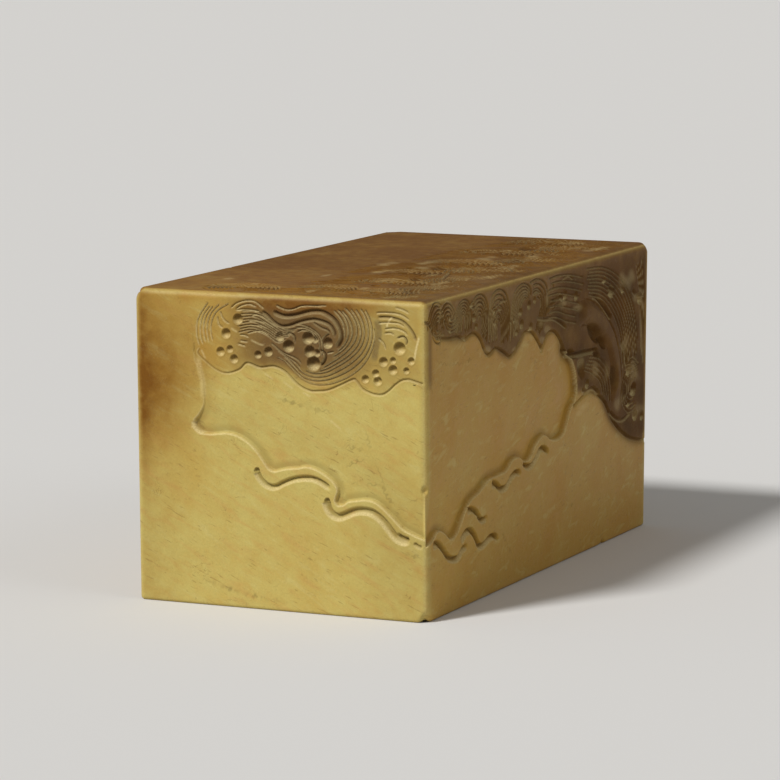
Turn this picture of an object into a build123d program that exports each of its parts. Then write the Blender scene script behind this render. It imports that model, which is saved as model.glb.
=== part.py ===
"""Seal stamp: a squared block of soapstone with clouds, hills and rocks carved in thin relief.

Millimetres. The origin is the middle of the base, +Z is up, the long side lies along Y and the
front end faces -Y. The stone is one natural piece. It is modelled as the zones that its carver
would name: a plain core, the flat face that takes the ink paste, and a carved layer on every
other face, divided along the borders of its clouds, ground, ridges and rocks.
"""

import os

from build123d import *

# The squared stone
stone_width = 36.0
stone_length = 71.0
stone_height = 36.0
upright_edge_radius = 0.7
top_edge_bevel = 0.6
base_edge_bevel = 0.4

# The layers that it is divided into
relief_depth = 1.5
top_rind_depth = 1.2
seal_face_depth = 3.0

# The carving: how far each cut goes below the face, and how wide the tools are
ground_sink = 0.3
hollow_depth = 1.0
gouge_width = 0.85
gouge_depth = 0.6
scroll_width = 0.6
scroll_depth = 0.4
pit_depth = 0.5
comb_line_width = 0.16
comb_line_depth = 0.15
half_share = 0.5

# The five carved faces, each with its X along the face as seen from outside
front = Plane(origin=(0, -stone_length / 2, 0), x_dir=(1, 0, 0), z_dir=(0, -1, 0))
right = Plane(origin=(stone_width / 2, 0, 0), x_dir=(0, 1, 0), z_dir=(1, 0, 0))
back = Plane(origin=(0, stone_length / 2, 0), x_dir=(-1, 0, 0), z_dir=(0, 1, 0))
left = Plane(origin=(-stone_width / 2, 0, 0), x_dir=(0, -1, 0), z_dir=(-1, 0, 0))
top = Plane(origin=(0, -stone_length / 2, stone_height), x_dir=(1, 0, 0), z_dir=(0, 0, 1))

# Every outline below is a list of runs. A run holds shares of the face's width, from its left
# edge, and of its height, from the base. A run of two points is straight. A longer one is a chain
# of arcs: its start, and then a point on each arc and its end. Straight lines join the runs. A
# zone takes what the zones before it in its table have left.

# The long hooked gouges that undercut the hills, each also the lower border of a ridge
front_gouge_shares = [
    [(0.422, 0.439), (0.450, 0.399), (0.506, 0.401), (0.594, 0.432), (0.675, 0.403)],
    [(0.661, 0.358), (0.686, 0.319), (0.733, 0.322), (0.803, 0.343), (0.867, 0.297), (0.903, 0.256),
     (0.953, 0.250)],
]
right_gouge_shares = [
    [(0.027, 0.236), (0.049, 0.233), (0.070, 0.206), (0.113, 0.165), (0.158, 0.192)],
    [(0.141, 0.217), (0.172, 0.240), (0.200, 0.206), (0.231, 0.171), (0.262, 0.188)],
    [(0.251, 0.258), (0.232, 0.253), (0.213, 0.274), (0.192, 0.299), (0.168, 0.303)],
    [(0.270, 0.358), (0.315, 0.326), (0.352, 0.353), (0.375, 0.364), (0.397, 0.358)],
    [(0.413, 0.386), (0.441, 0.367), (0.470, 0.392), (0.496, 0.411), (0.521, 0.389)],
]
back_gouge_shares = [
    [(0.481, 0.269), (0.550, 0.222), (0.633, 0.244), (0.733, 0.275), (0.833, 0.236)],
]
left_gouge_shares = [
    [(0.161, 0.231), (0.206, 0.194), (0.262, 0.228), (0.332, 0.275), (0.400, 0.247), (0.473, 0.261),
     (0.535, 0.339)],
]

front_zone_shares = {
    "front_cloud_left": [
        [(0.222, 0.811), (0.317, 0.744), (0.394, 0.781)],
        [(0.386, 1.019), (0.269, 1.019)],
    ],
    "front_cloud_right": [
        [(0.768, 0.744), (0.831, 0.703), (0.883, 0.731), (0.931, 0.751), (0.972, 0.739),
         (1.000, 0.733), (1.031, 0.744)],
        [(1.031, 1.019), (0.814, 1.019)],
        [(0.831, 0.844), (0.768, 0.744)],
    ],
    "front_cloud_main": [
        [(0.394, 0.781), (0.439, 0.769), (0.486, 0.778), (0.533, 0.762), (0.567, 0.731),
         (0.656, 0.706), (0.768, 0.744)],
        [(0.950, 0.900), (0.950, 1.019)],
        [(0.331, 1.019), (0.331, 0.900)],
    ],
    "front_ground": [
        [(0.968, 0.252), (0.928, 0.286), (0.886, 0.324), (0.800, 0.372), (0.708, 0.349),
         (0.686, 0.375), (0.696, 0.406), (0.633, 0.456), (0.544, 0.454), (0.492, 0.443),
         (0.450, 0.469), (0.392, 0.532), (0.311, 0.554), (0.211, 0.567), (0.228, 0.606),
         (0.246, 0.700), (0.222, 0.811)],
        [(0.261, 0.900), (0.968, 0.900)],
    ],
    "front_ridge_upper": [
        front_gouge_shares[0],
        [(0.711, 0.500), (0.431, 0.500)],
    ],
    "front_ridge_lower": [
        front_gouge_shares[1],
        [(0.953, 0.381), (0.719, 0.419)],
    ],
}
right_zone_shares = {
    "right_cloud_near": [
        [(-0.030, 0.942), (0.008, 0.931), (0.030, 0.903), (0.110, 0.856), (0.190, 0.861),
         (0.221, 0.839), (0.237, 0.800)],
        [(0.245, 1.019), (-0.030, 1.019)],
    ],
    "right_cloud_middle": [
        [(0.237, 0.800), (0.262, 0.781), (0.286, 0.792), (0.346, 0.750), (0.410, 0.814)],
        [(0.415, 1.019), (0.200, 1.019)],
    ],
    "right_cloud_far": [
        [(0.410, 0.814), (0.451, 0.803), (0.487, 0.744)],
        [(0.487, 0.744), (0.530, 0.872), (0.639, 1.019)],
        [(0.400, 1.019), (0.400, 0.900)],
    ],
    "right_arched_band": [
        [(0.655, 0.756), (0.725, 0.842), (0.810, 0.772), (0.866, 0.611), (0.851, 0.439)],
        [(0.815, 0.461), (0.807, 0.653), (0.706, 0.756)],
    ],
    "right_rock_mass": [
        [(0.487, 0.744), (0.530, 0.790), (0.572, 0.750), (0.594, 0.700), (0.625, 0.669),
         (0.648, 0.622), (0.651, 0.561), (0.704, 0.553), (0.755, 0.525), (0.854, 0.369),
         (1.030, 0.306)],
        [(1.030, 1.019), (0.500, 1.019)],
    ],
    "right_ground": [
        [(0.651, 0.561), (0.623, 0.492), (0.597, 0.439), (0.563, 0.422), (0.532, 0.433),
         (0.496, 0.453), (0.459, 0.419), (0.428, 0.387), (0.400, 0.403), (0.375, 0.414),
         (0.341, 0.387), (0.276, 0.381), (0.211, 0.344), (0.169, 0.319), (0.135, 0.261),
         (0.104, 0.233), (0.076, 0.258), (0.051, 0.275), (0.027, 0.254)],
        [(0.027, 0.961), (0.700, 0.961)],
    ],
    "right_ridge_near": [
        right_gouge_shares[0],
        right_gouge_shares[1],
        right_gouge_shares[2],
        [(0.131, 0.289), (0.027, 0.289)],
    ],
    "right_ridge_far": [
        right_gouge_shares[3],
        right_gouge_shares[4],
        [(0.561, 0.500), (0.251, 0.500)],
    ],
}
back_zone_shares = {
    "back_rock_mass": [
        [(-0.028, 0.311), (0.097, 0.428), (0.167, 0.569), (0.228, 0.672), (0.339, 0.700)],
        [(0.381, 1.019), (-0.028, 1.019)],
    ],
    "back_cloud": [
        [(0.339, 0.700), (0.422, 0.739), (0.506, 0.719), (0.589, 0.692), (0.672, 0.728),
         (0.761, 0.761), (0.844, 0.722), (0.942, 0.717), (1.031, 0.767)],
        [(1.031, 1.019), (0.300, 1.019)],
    ],
    "back_ground": [
        [(0.968, 0.331), (0.844, 0.397), (0.717, 0.364), (0.650, 0.350), (0.589, 0.358),
         (0.494, 0.358), (0.394, 0.303), (0.328, 0.275), (0.267, 0.283), (0.167, 0.292),
         (0.032, 0.256)],
        [(0.032, 0.861), (0.968, 0.861)],
    ],
    "back_ridge": [
        back_gouge_shares[0],
        [(0.833, 0.458), (0.481, 0.458)],
    ],
}
left_zone_shares = {
    "left_cloud_near": [
        [(-0.030, 0.769), (0.037, 0.744), (0.090, 0.778), (0.135, 0.761), (0.186, 0.800),
         (0.220, 0.811), (0.251, 0.789)],
        [(0.270, 1.019), (-0.030, 1.019)],
    ],
    "left_cloud_far": [
        [(0.251, 0.789), (0.332, 0.739), (0.414, 0.803), (0.473, 0.833), (0.535, 0.839),
         (0.606, 0.900), (0.639, 1.019)],
        [(0.251, 1.019), (0.239, 0.900)],
    ],
    "left_ground": [
        [(0.761, 1.019), (0.766, 0.767), (0.685, 0.550), (0.625, 0.467), (0.544, 0.439),
         (0.473, 0.450), (0.408, 0.400), (0.352, 0.367), (0.299, 0.383), (0.225, 0.369),
         (0.163, 0.311), (0.099, 0.281), (0.020, 0.294)],
        [(0.020, 0.950), (0.600, 1.019)],
    ],
    "left_ridge": [
        left_gouge_shares[0],
        [(0.535, 0.561), (0.130, 0.500)],
    ],
}
# On the top, a share of the height of a side face becomes a share of the stone's length
top_zone_shares = {
    "top_cloud_front": [
        [(0.161, -0.020), (0.200, 0.113), (0.419, 0.200), (0.667, 0.287), (1.031, 0.330)],
        [(1.031, -0.020), (0.600, -0.020)],
    ],
    "top_cloud_side": [
        [(0.419, 0.200), (0.400, 0.310), (0.442, 0.408), (0.483, 0.592), (0.461, 0.780),
         (0.472, 0.901), (0.519, 1.020)],
        [(1.031, 1.020), (1.031, 0.200)],
    ],
}

# The lighter gouges that roll the clouds into scrolls
front_scroll_shares = [
    [(0.489, 0.936), (0.550, 0.925), (0.606, 0.936), (0.678, 0.931), (0.717, 0.872)],
    [(0.417, 0.917), (0.483, 0.892), (0.567, 0.903), (0.633, 0.914), (0.683, 0.869)],
]
right_scroll_shares = [
    [(0.262, 0.939), (0.332, 0.947), (0.362, 0.844)],
    [(0.400, 0.953), (0.470, 0.933), (0.485, 0.881)],
]
back_scroll_shares = [
    [(0.419, 0.900), (0.533, 0.931), (0.583, 0.833)],
]
left_scroll_shares = [
    [(0.300, 0.911), (0.366, 0.939), (0.410, 0.850)],
]
top_scroll_shares = [
    [(0.389, 0.120), (0.569, 0.194), (0.719, 0.106)],
    [(0.561, 0.330), (0.733, 0.408), (0.800, 0.300)],
]

# The deep hollows under the arched band and beside it
right_hollow_shares = [
    [
        [(0.699, 0.733), (0.769, 0.694), (0.794, 0.578)],
        [(0.775, 0.611), (0.745, 0.661), (0.694, 0.706)],
    ],
    [
        [(0.604, 0.711), (0.630, 0.725), (0.662, 0.706)],
        [(0.655, 0.672), (0.630, 0.675)],
    ],
]

# The pits drilled between the scrolls
pit_radius = 0.55
front_pit_shares = [
    (0.303, 0.812), (0.361, 0.917), (0.542, 0.861), (0.628, 0.794), (0.861, 0.814), (0.917, 0.861),
]
right_pit_shares = [
    (0.099, 0.925), (0.193, 0.911), (0.292, 0.889),
]
top_pit_shares = [
    (0.561, 0.096), (0.681, 0.345),
]

# The combs of fine parallel lines. Each fans out round a centre: at its three angles the lines
# divide the band between the inner and the outer radius evenly. Radii are shares of the height.
main_comb_centre_share = (0.633, 0.850)
main_comb_line_count = 5
main_comb_angles = (-110, -35, 30)
main_comb_inner_shares = (0.096, 0.100, 0.118)
main_comb_outer_shares = (0.132, 0.168, 0.180)


def places(face_size, shares):
    """Turns shares of a face into points on its plane."""
    across, up = face_size
    start = -across * half_share
    return [(start + share[0] * across, share[1] * up) for share in shares]


def arcs(points):
    """Draws the arcs of a run, one after the other."""
    for start, middle, end in zip(points[::2], points[1::2], points[2::2]):
        ThreePointArc(start, middle, end)


def area(face, face_size, runs):
    """The flat area inside a closed outline of smooth runs joined by straight lines."""
    with BuildSketch(face) as outline:
        with BuildLine():
            curves = [places(face_size, run) for run in runs]
            for curve, following in zip(curves, curves[1:] + curves[:1]):
                if len(curve) > 2:
                    arcs(curve)
                else:
                    Line(*curve)
                if curve[-1] != following[0]:
                    Line(curve[-1], following[0])
        make_face()
    return outline.sketch


def gouge(face, face_size, run, width, depth):
    """The groove that a tool cuts along a curve, with its round ends."""
    with BuildPart() as groove:
        with BuildSketch(face):
            ends = places(face_size, run)
            with BuildLine():
                arcs(ends)
            trace(line_width=width)
            with Locations(ends[0], ends[-1]):
                Circle(width / 2)
        extrude(amount=-depth)
    return groove.part


def hollow(face, face_size, runs):
    """A deep flat-bottomed hollow inside one outline."""
    with BuildPart() as pocket:
        extrude(area(face, face_size, runs), amount=-hollow_depth)
    return pocket.part


def pits(face, face_size, shares):
    """The pits that a pointed drill leaves in a face."""
    with BuildPart() as points:
        with Locations(face):
            with Locations(*places(face_size, shares)):
                Cone(0, pit_radius, pit_depth, align=(Align.CENTER, Align.CENTER, Align.MAX))
    return points.part


def comb(face, face_size, centre_share, count, angles, inner_shares, outer_shares):
    """The grooves of one comb: thin lines that fan out round a centre."""
    centre = Vector(*places(face_size, [centre_share])[0])
    steps = count - 1
    with BuildPart() as lines:
        with BuildSketch(face) as tracks:
            for number in range(count):
                radii = [
                    stone_height * (inner + (outer - inner) * number / steps)
                    for inner, outer in zip(inner_shares, outer_shares)
                ]
                points = [centre + Vector(r, 0).rotate(Axis.Z, a) for r, a in zip(radii, angles)]
                with BuildLine(mode=Mode.PRIVATE):
                    path = ThreePointArc(*points)
                trace(path, comb_line_width)
        extrude(amount=-comb_line_depth)
    return lines.part


def carve(face, face_size, layer, zone_shares, rest_name, cuts):
    """Divides a carved layer into its zones, sinks the ground and makes the cuts in every zone."""
    zones = {}
    rest = layer
    for name, runs in zone_shares.items():
        with BuildPart() as zone:
            extrude(area(face, face_size, runs), amount=-relief_depth)
            add(rest, mode=Mode.INTERSECT)
        zones[name] = zone.part
        with BuildPart() as remainder:
            add(rest)
            add(zone.part, mode=Mode.SUBTRACT)
        rest = remainder.part
    zones[rest_name] = rest
    for name, part in zones.items():
        with BuildPart() as finished:
            add(part)
            if name.endswith("_ground"):
                add(ground_level.part, mode=Mode.INTERSECT)
            add(cuts, mode=Mode.SUBTRACT)
        finished.part.label = name
        export_step(finished.part, f"parts/{name}.step")


os.makedirs("parts", exist_ok=True)

# The whole squared stone, with its soft edges
with BuildPart() as block:
    with BuildSketch():
        RectangleRounded(stone_width, stone_length, upright_edge_radius)
    extrude(amount=stone_height)
    chamfer(block.faces().sort_by(Axis.Z)[-1].edges(), top_edge_bevel)
    chamfer(block.faces().sort_by(Axis.Z)[0].edges(), base_edge_bevel)


# The stone as it would be if every upright face were cut back to the level of the ground
with BuildPart() as ground_level:
    with BuildSketch():
        Rectangle(stone_width - 2 * ground_sink, stone_length - 2 * ground_sink)
    extrude(amount=stone_height)

# The plain core, which no tool has touched
core_height = stone_height - seal_face_depth - top_rind_depth
with BuildPart() as stone_core:
    with BuildSketch(Plane.XY.offset(seal_face_depth)):
        Rectangle(stone_width - 2 * relief_depth, stone_length - 2 * relief_depth)
    extrude(amount=core_height)
stone_core.part.label = "stone_core"
export_step(stone_core.part, "parts/stone_core.step")

# The flat, polished face that takes the ink paste, bare of any legend
with BuildPart() as seal_face:
    with BuildSketch():
        Rectangle(stone_width, stone_length)
    extrude(amount=seal_face_depth)
    add(block.part, mode=Mode.INTERSECT)
seal_face.part.label = "seal_face"
export_step(seal_face.part, "parts/seal_face.step")

# The layers that carry the carving: the end faces' reach over the whole width, the long faces'
# fit between them, and the rind lies on top of them all
with BuildPart() as top_layer:
    with BuildSketch(Plane.XY.offset(stone_height - top_rind_depth)):
        Rectangle(stone_width, stone_length)
    extrude(amount=top_rind_depth)
    add(block.part, mode=Mode.INTERSECT)


def side_layer(face, across):
    """The layer just under one upright face, between the seal face and the top rind."""
    with BuildPart() as layer:
        with BuildSketch(face):
            with Locations((0, seal_face_depth + core_height / 2)):
                Rectangle(across, core_height)
        extrude(amount=-relief_depth)
        add(block.part, mode=Mode.INTERSECT)
    return layer.part


end_size = (stone_width, stone_height)
long_size = (stone_length, stone_height)
top_size = (stone_width, stone_length)
long_face_reach = stone_length - 2 * relief_depth

front_cuts = [gouge(front, end_size, run, gouge_width, gouge_depth) for run in front_gouge_shares]
front_cuts += [gouge(front, end_size, run, scroll_width, scroll_depth) for run in front_scroll_shares]
front_cuts += [
    pits(front, end_size, front_pit_shares),
    comb(front, end_size, main_comb_centre_share, main_comb_line_count, main_comb_angles,
         main_comb_inner_shares, main_comb_outer_shares),
]
carve(front, end_size, side_layer(front, stone_width), front_zone_shares, "front_foreground",
      front_cuts)

right_cuts = [gouge(right, long_size, run, gouge_width, gouge_depth) for run in right_gouge_shares]
right_cuts += [gouge(right, long_size, run, scroll_width, scroll_depth) for run in right_scroll_shares]
right_cuts += [hollow(right, long_size, runs) for runs in right_hollow_shares]
right_cuts += [pits(right, long_size, right_pit_shares)]
carve(right, long_size, side_layer(right, long_face_reach), right_zone_shares, "right_foreground",
      right_cuts)

back_cuts = [gouge(back, end_size, run, gouge_width, gouge_depth) for run in back_gouge_shares]
back_cuts += [gouge(back, end_size, run, scroll_width, scroll_depth) for run in back_scroll_shares]
carve(back, end_size, side_layer(back, stone_width), back_zone_shares, "back_foreground",
      back_cuts)

left_cuts = [gouge(left, long_size, run, gouge_width, gouge_depth) for run in left_gouge_shares]
left_cuts += [gouge(left, long_size, run, scroll_width, scroll_depth) for run in left_scroll_shares]
carve(left, long_size, side_layer(left, long_face_reach), left_zone_shares, "left_foreground",
      left_cuts)

top_cuts = [gouge(top, top_size, run, scroll_width, scroll_depth) for run in top_scroll_shares]
top_cuts += [pits(top, top_size, top_pit_shares)]
carve(top, top_size, top_layer.part, top_zone_shares, "top_plain", top_cuts)
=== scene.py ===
"""The looks of a carved seal stone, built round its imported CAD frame."""

import logging
import math
from dataclasses import dataclass, field
from enum import Enum

import bpy
import numpy as np
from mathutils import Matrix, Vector
from mathutils.bvhtree import BVHTree


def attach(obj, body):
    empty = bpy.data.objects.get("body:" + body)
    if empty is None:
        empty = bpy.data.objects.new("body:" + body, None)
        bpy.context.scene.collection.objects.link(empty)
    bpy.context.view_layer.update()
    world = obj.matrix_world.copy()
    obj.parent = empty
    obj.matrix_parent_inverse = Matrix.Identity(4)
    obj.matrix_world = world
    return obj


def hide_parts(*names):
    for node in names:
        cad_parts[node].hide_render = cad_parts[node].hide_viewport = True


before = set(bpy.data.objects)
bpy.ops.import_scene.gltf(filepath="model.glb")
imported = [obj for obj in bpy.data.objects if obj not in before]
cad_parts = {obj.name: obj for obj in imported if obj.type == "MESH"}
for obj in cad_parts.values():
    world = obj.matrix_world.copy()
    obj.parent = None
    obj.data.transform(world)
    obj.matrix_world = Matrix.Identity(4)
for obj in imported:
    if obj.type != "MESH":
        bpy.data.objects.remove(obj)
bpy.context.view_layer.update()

log = logging.getLogger("seal_stone")
MM = 0.001  # a millimetre, in metres
WELD = 2e-6  # points of neighbouring sheets this near are one point, in metres
SLIVER = 1e-6  # an edge shorter than this is dropped, in metres
DEEPEST = 2.5  # no solid that shows on a face lies deeper behind it, in mm
WHOLE = (slice(None), slice(None))  # all the grid points of a face
Points = tuple[tuple[float, float], ...]
Area = tuple[slice, slice]
Colour = tuple[float, float, float, float]


class Side(Enum):
    """The five carved or worked faces; the sixth, the seal face, closes the base."""

    FRONT = "front"
    RIGHT = "right"
    BACK = "back"
    LEFT = "left"
    TOP = "top"


class Blade(Enum):
    """The cutting edges whose marks the stone shows."""

    KNIFE = "a narrow pointed line"
    BEVEL = "a channel whose upper wall is steep"


def spaced(start: float, *runs: tuple[float, float]) -> np.ndarray:
    """Lays out grid lines whose spacing changes along a side.

    Args:
        start: where the first line lies, in mm.
        runs: pairs of the place where a run stops and its spacing, in mm.

    Returns:
        The places of all the lines, in mm.
    """
    lines = [np.array([start])]
    for stop, step in runs:
        last = lines[-1][-1]
        count = max(1, round((stop - last) / step))
        lines.append(np.linspace(last, stop, count + 1)[1:])
    return np.concatenate(lines)


def eased(value: np.ndarray, low: float, high: float) -> np.ndarray:
    """Goes smoothly from 0 at low to 1 at high."""
    share = np.clip((value - low) / (high - low), 0.0, 1.0)
    return share * share * (3.0 - 2.0 * share)


def at_points(cells: np.ndarray) -> np.ndarray:
    """Gives each point of a grid the mean of the cells round it."""
    wide = np.pad(cells.astype(float), 1, mode="edge")
    return (wide[1:, 1:] + wide[:-1, 1:] + wide[1:, :-1] + wide[:-1, :-1]) / 4


def stain(u: np.ndarray, v: np.ndarray, centre: tuple[float, float], size: tuple[float, float],
          power: int = 2) -> np.ndarray:
    """Spreads a soft stain over a face.

    Args:
        u: the places across, in mm.
        v: the places up, in mm.
        centre: the middle of the stain.
        size: how far it reaches either way.
        power: how level it is in the middle.

    Returns:
        Its strength, 1 in the middle.
    """
    return np.exp(-(((u - centre[0]) / size[0]) ** power) - (((v - centre[1]) / size[1]) ** power))


def read(items: bpy.types.bpy_prop_collection, key: str, size: int, kind: type = np.float32) -> np.ndarray:
    """Reads one property of all the items of a mesh.

    Args:
        items: the vertices, edges or corners.
        key: the property's name.
        size: how many numbers each item has.
        kind: what sort of number they are.

    Returns:
        The numbers, a row for each item.
    """
    values = np.empty(len(items) * size, kind)
    items.foreach_get(key, values)
    return values.reshape(-1, size)


def choose_open_edges() -> None:
    """Selects the edges along which the mesh in edit mode is open."""
    bpy.ops.mesh.select_non_manifold(
        extend=False, use_wire=False, use_multi_face=False, use_non_contiguous=False, use_verts=False
    )


def flowing(points: Points, per_run: int = 8) -> np.ndarray:
    """Runs a smooth line through a carver's drawn points.

    Args:
        points: the drawn points, in mm on the face.
        per_run: how many short runs stand for each drawn one.

    Returns:
        The points of the smooth line.
    """
    drawn = np.array(points, float)
    if len(drawn) < 3:
        share = np.linspace(0, 1, per_run + 1)[:, None]
        return drawn[0] * (1 - share) + drawn[-1] * share
    before = np.vstack([2 * drawn[0] - drawn[1], drawn[:-1]])
    after = np.vstack([drawn[1:], 2 * drawn[-1] - drawn[-2]])
    slope = (after - before) / 2
    share = (np.arange(per_run) / per_run)[:, None]
    square, cube = share**2, share**3
    line = []
    for i in range(len(drawn) - 1):
        line.append(
            (2 * cube - 3 * square + 1) * drawn[i]
            + (cube - 2 * square + share) * slope[i]
            + (3 * square - 2 * cube) * drawn[i + 1]
            + (cube - square) * slope[i + 1]
        )
    return np.vstack(line + [drawn[-1:]])


@dataclass(frozen=True)
class Stone:
    """The squared block before it is carved, in mm.

    Each dent is a chip on an edge: where it is, how far it reaches and how deep it goes.
    """

    width: float = 36.0
    length: float = 71.0
    height: float = 36.0
    rounding: float = 0.85
    base_rounding: float = 0.4
    rind_depth: float = 1.2
    relief_depth: float = 1.5
    seal_depth: float = 3.0
    top_half_length: float = 35.65
    base_half_length: float = 35.0
    dents: tuple[tuple[float, float, float, float, float], ...] = (
        (18.0, -35.5, 15.0, 0.75, 0.45),
        (18.0, -35.3, 0.1, 1.3, 0.5),
        (-18.0, -35.5, 17.5, 0.6, 0.25),
        (-18.0, -35.5, 8.5, 0.5, 0.2),
        (-18.0, -35.4, 36.0, 1.5, 0.4),
        (-18.0, -12.0, 36.0, 0.9, 0.3),
        (18.0, 35.5, 36.0, 1.4, 0.4),
        (-18.0, 35.5, 36.0, 2.2, 0.7),
        (18.0, 20.0, 0.0, 0.8, 0.3),
    )

    def across(self) -> np.ndarray:
        """The grid lines from the left edge to the right one."""
        return spaced(0, (0.7, 0.117), (1.5, 0.27), (7.3, 0.29), (34.5, 0.095), (35.3, 0.1), (36, 0.117))

    def along(self) -> np.ndarray:
        """The grid lines from the front edge to the back one."""
        return spaced(0, (0.7, 0.117), (1.5, 0.133), (27, 0.14), (48, 0.16), (62, 0.2), (69.5, 0.28), (70.3, 0.2),
                      (71, 0.117))

    def upward(self) -> np.ndarray:
        """The grid lines from the base to the top."""
        return spaced(0, (0.4, 0.1), (3, 0.26), (5.4, 0.3), (24, 0.12), (34.8, 0.09), (35.3, 0.1), (36, 0.117))

    def shaped(self, sharp: np.ndarray, sunk: np.ndarray) -> tuple[np.ndarray, np.ndarray]:
        """Rounds the edges of the sharp block, sinks the carving in and leans the ends.

        Args:
            sharp: points on the sharp block, in mm.
            sunk: how far each lies above the face, in mm; carving is negative.

        Returns:
            The points in place and the directions in which they face before carving.
        """
        half = np.array([self.width / 2, self.length / 2, 0.0])
        inner = sharp.copy()
        for axis in (0, 1):
            reach = half[axis] - self.rounding
            inner[..., axis] = np.clip(sharp[..., axis], -reach, reach)
        inner[..., 2] = np.minimum(sharp[..., 2], self.height - self.rounding)
        facing = sharp - inner
        facing /= np.linalg.norm(facing, axis=-1, keepdims=True)
        rounding = np.full(sharp.shape[:-1], self.rounding)
        low = sharp[..., 2] < self.base_rounding
        turn = np.where(low, (1 - sharp[..., 2] / self.base_rounding) * math.pi / 2, 0.0)
        placed = inner + facing * rounding[..., None]
        flat = self.rounding - self.base_rounding + self.base_rounding * np.cos(turn)
        for axis in (0, 1):
            placed[..., axis] = np.where(low, inner[..., axis] + facing[..., axis] * flat, placed[..., axis])
        placed[..., 2] = np.where(low, self.base_rounding * (1 - np.sin(turn)), placed[..., 2])
        facing = facing * np.cos(turn)[..., None]
        facing[..., 2] -= np.sin(turn)
        for x, y, z, radius, depth in self.dents:
            away = np.linalg.norm(placed - np.array([x, y, z]), axis=-1)
            placed -= facing * (depth * (1 - eased(away, 0.25 * radius, radius)))[..., None]
        placed += facing * sunk[..., None]
        return placed, facing

    def leaned(self, points: np.ndarray) -> np.ndarray:
        """Leans the two ends a little inwards towards the base.

        Args:
            points: points in metres, each a row.

        Returns:
            The points where they belong.
        """
        share = points[:, 2] / (self.height * MM)
        half = self.base_half_length + (self.top_half_length - self.base_half_length) * share
        return points * np.stack([np.ones_like(half), half / (self.length / 2), np.ones_like(half)], axis=1)


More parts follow.
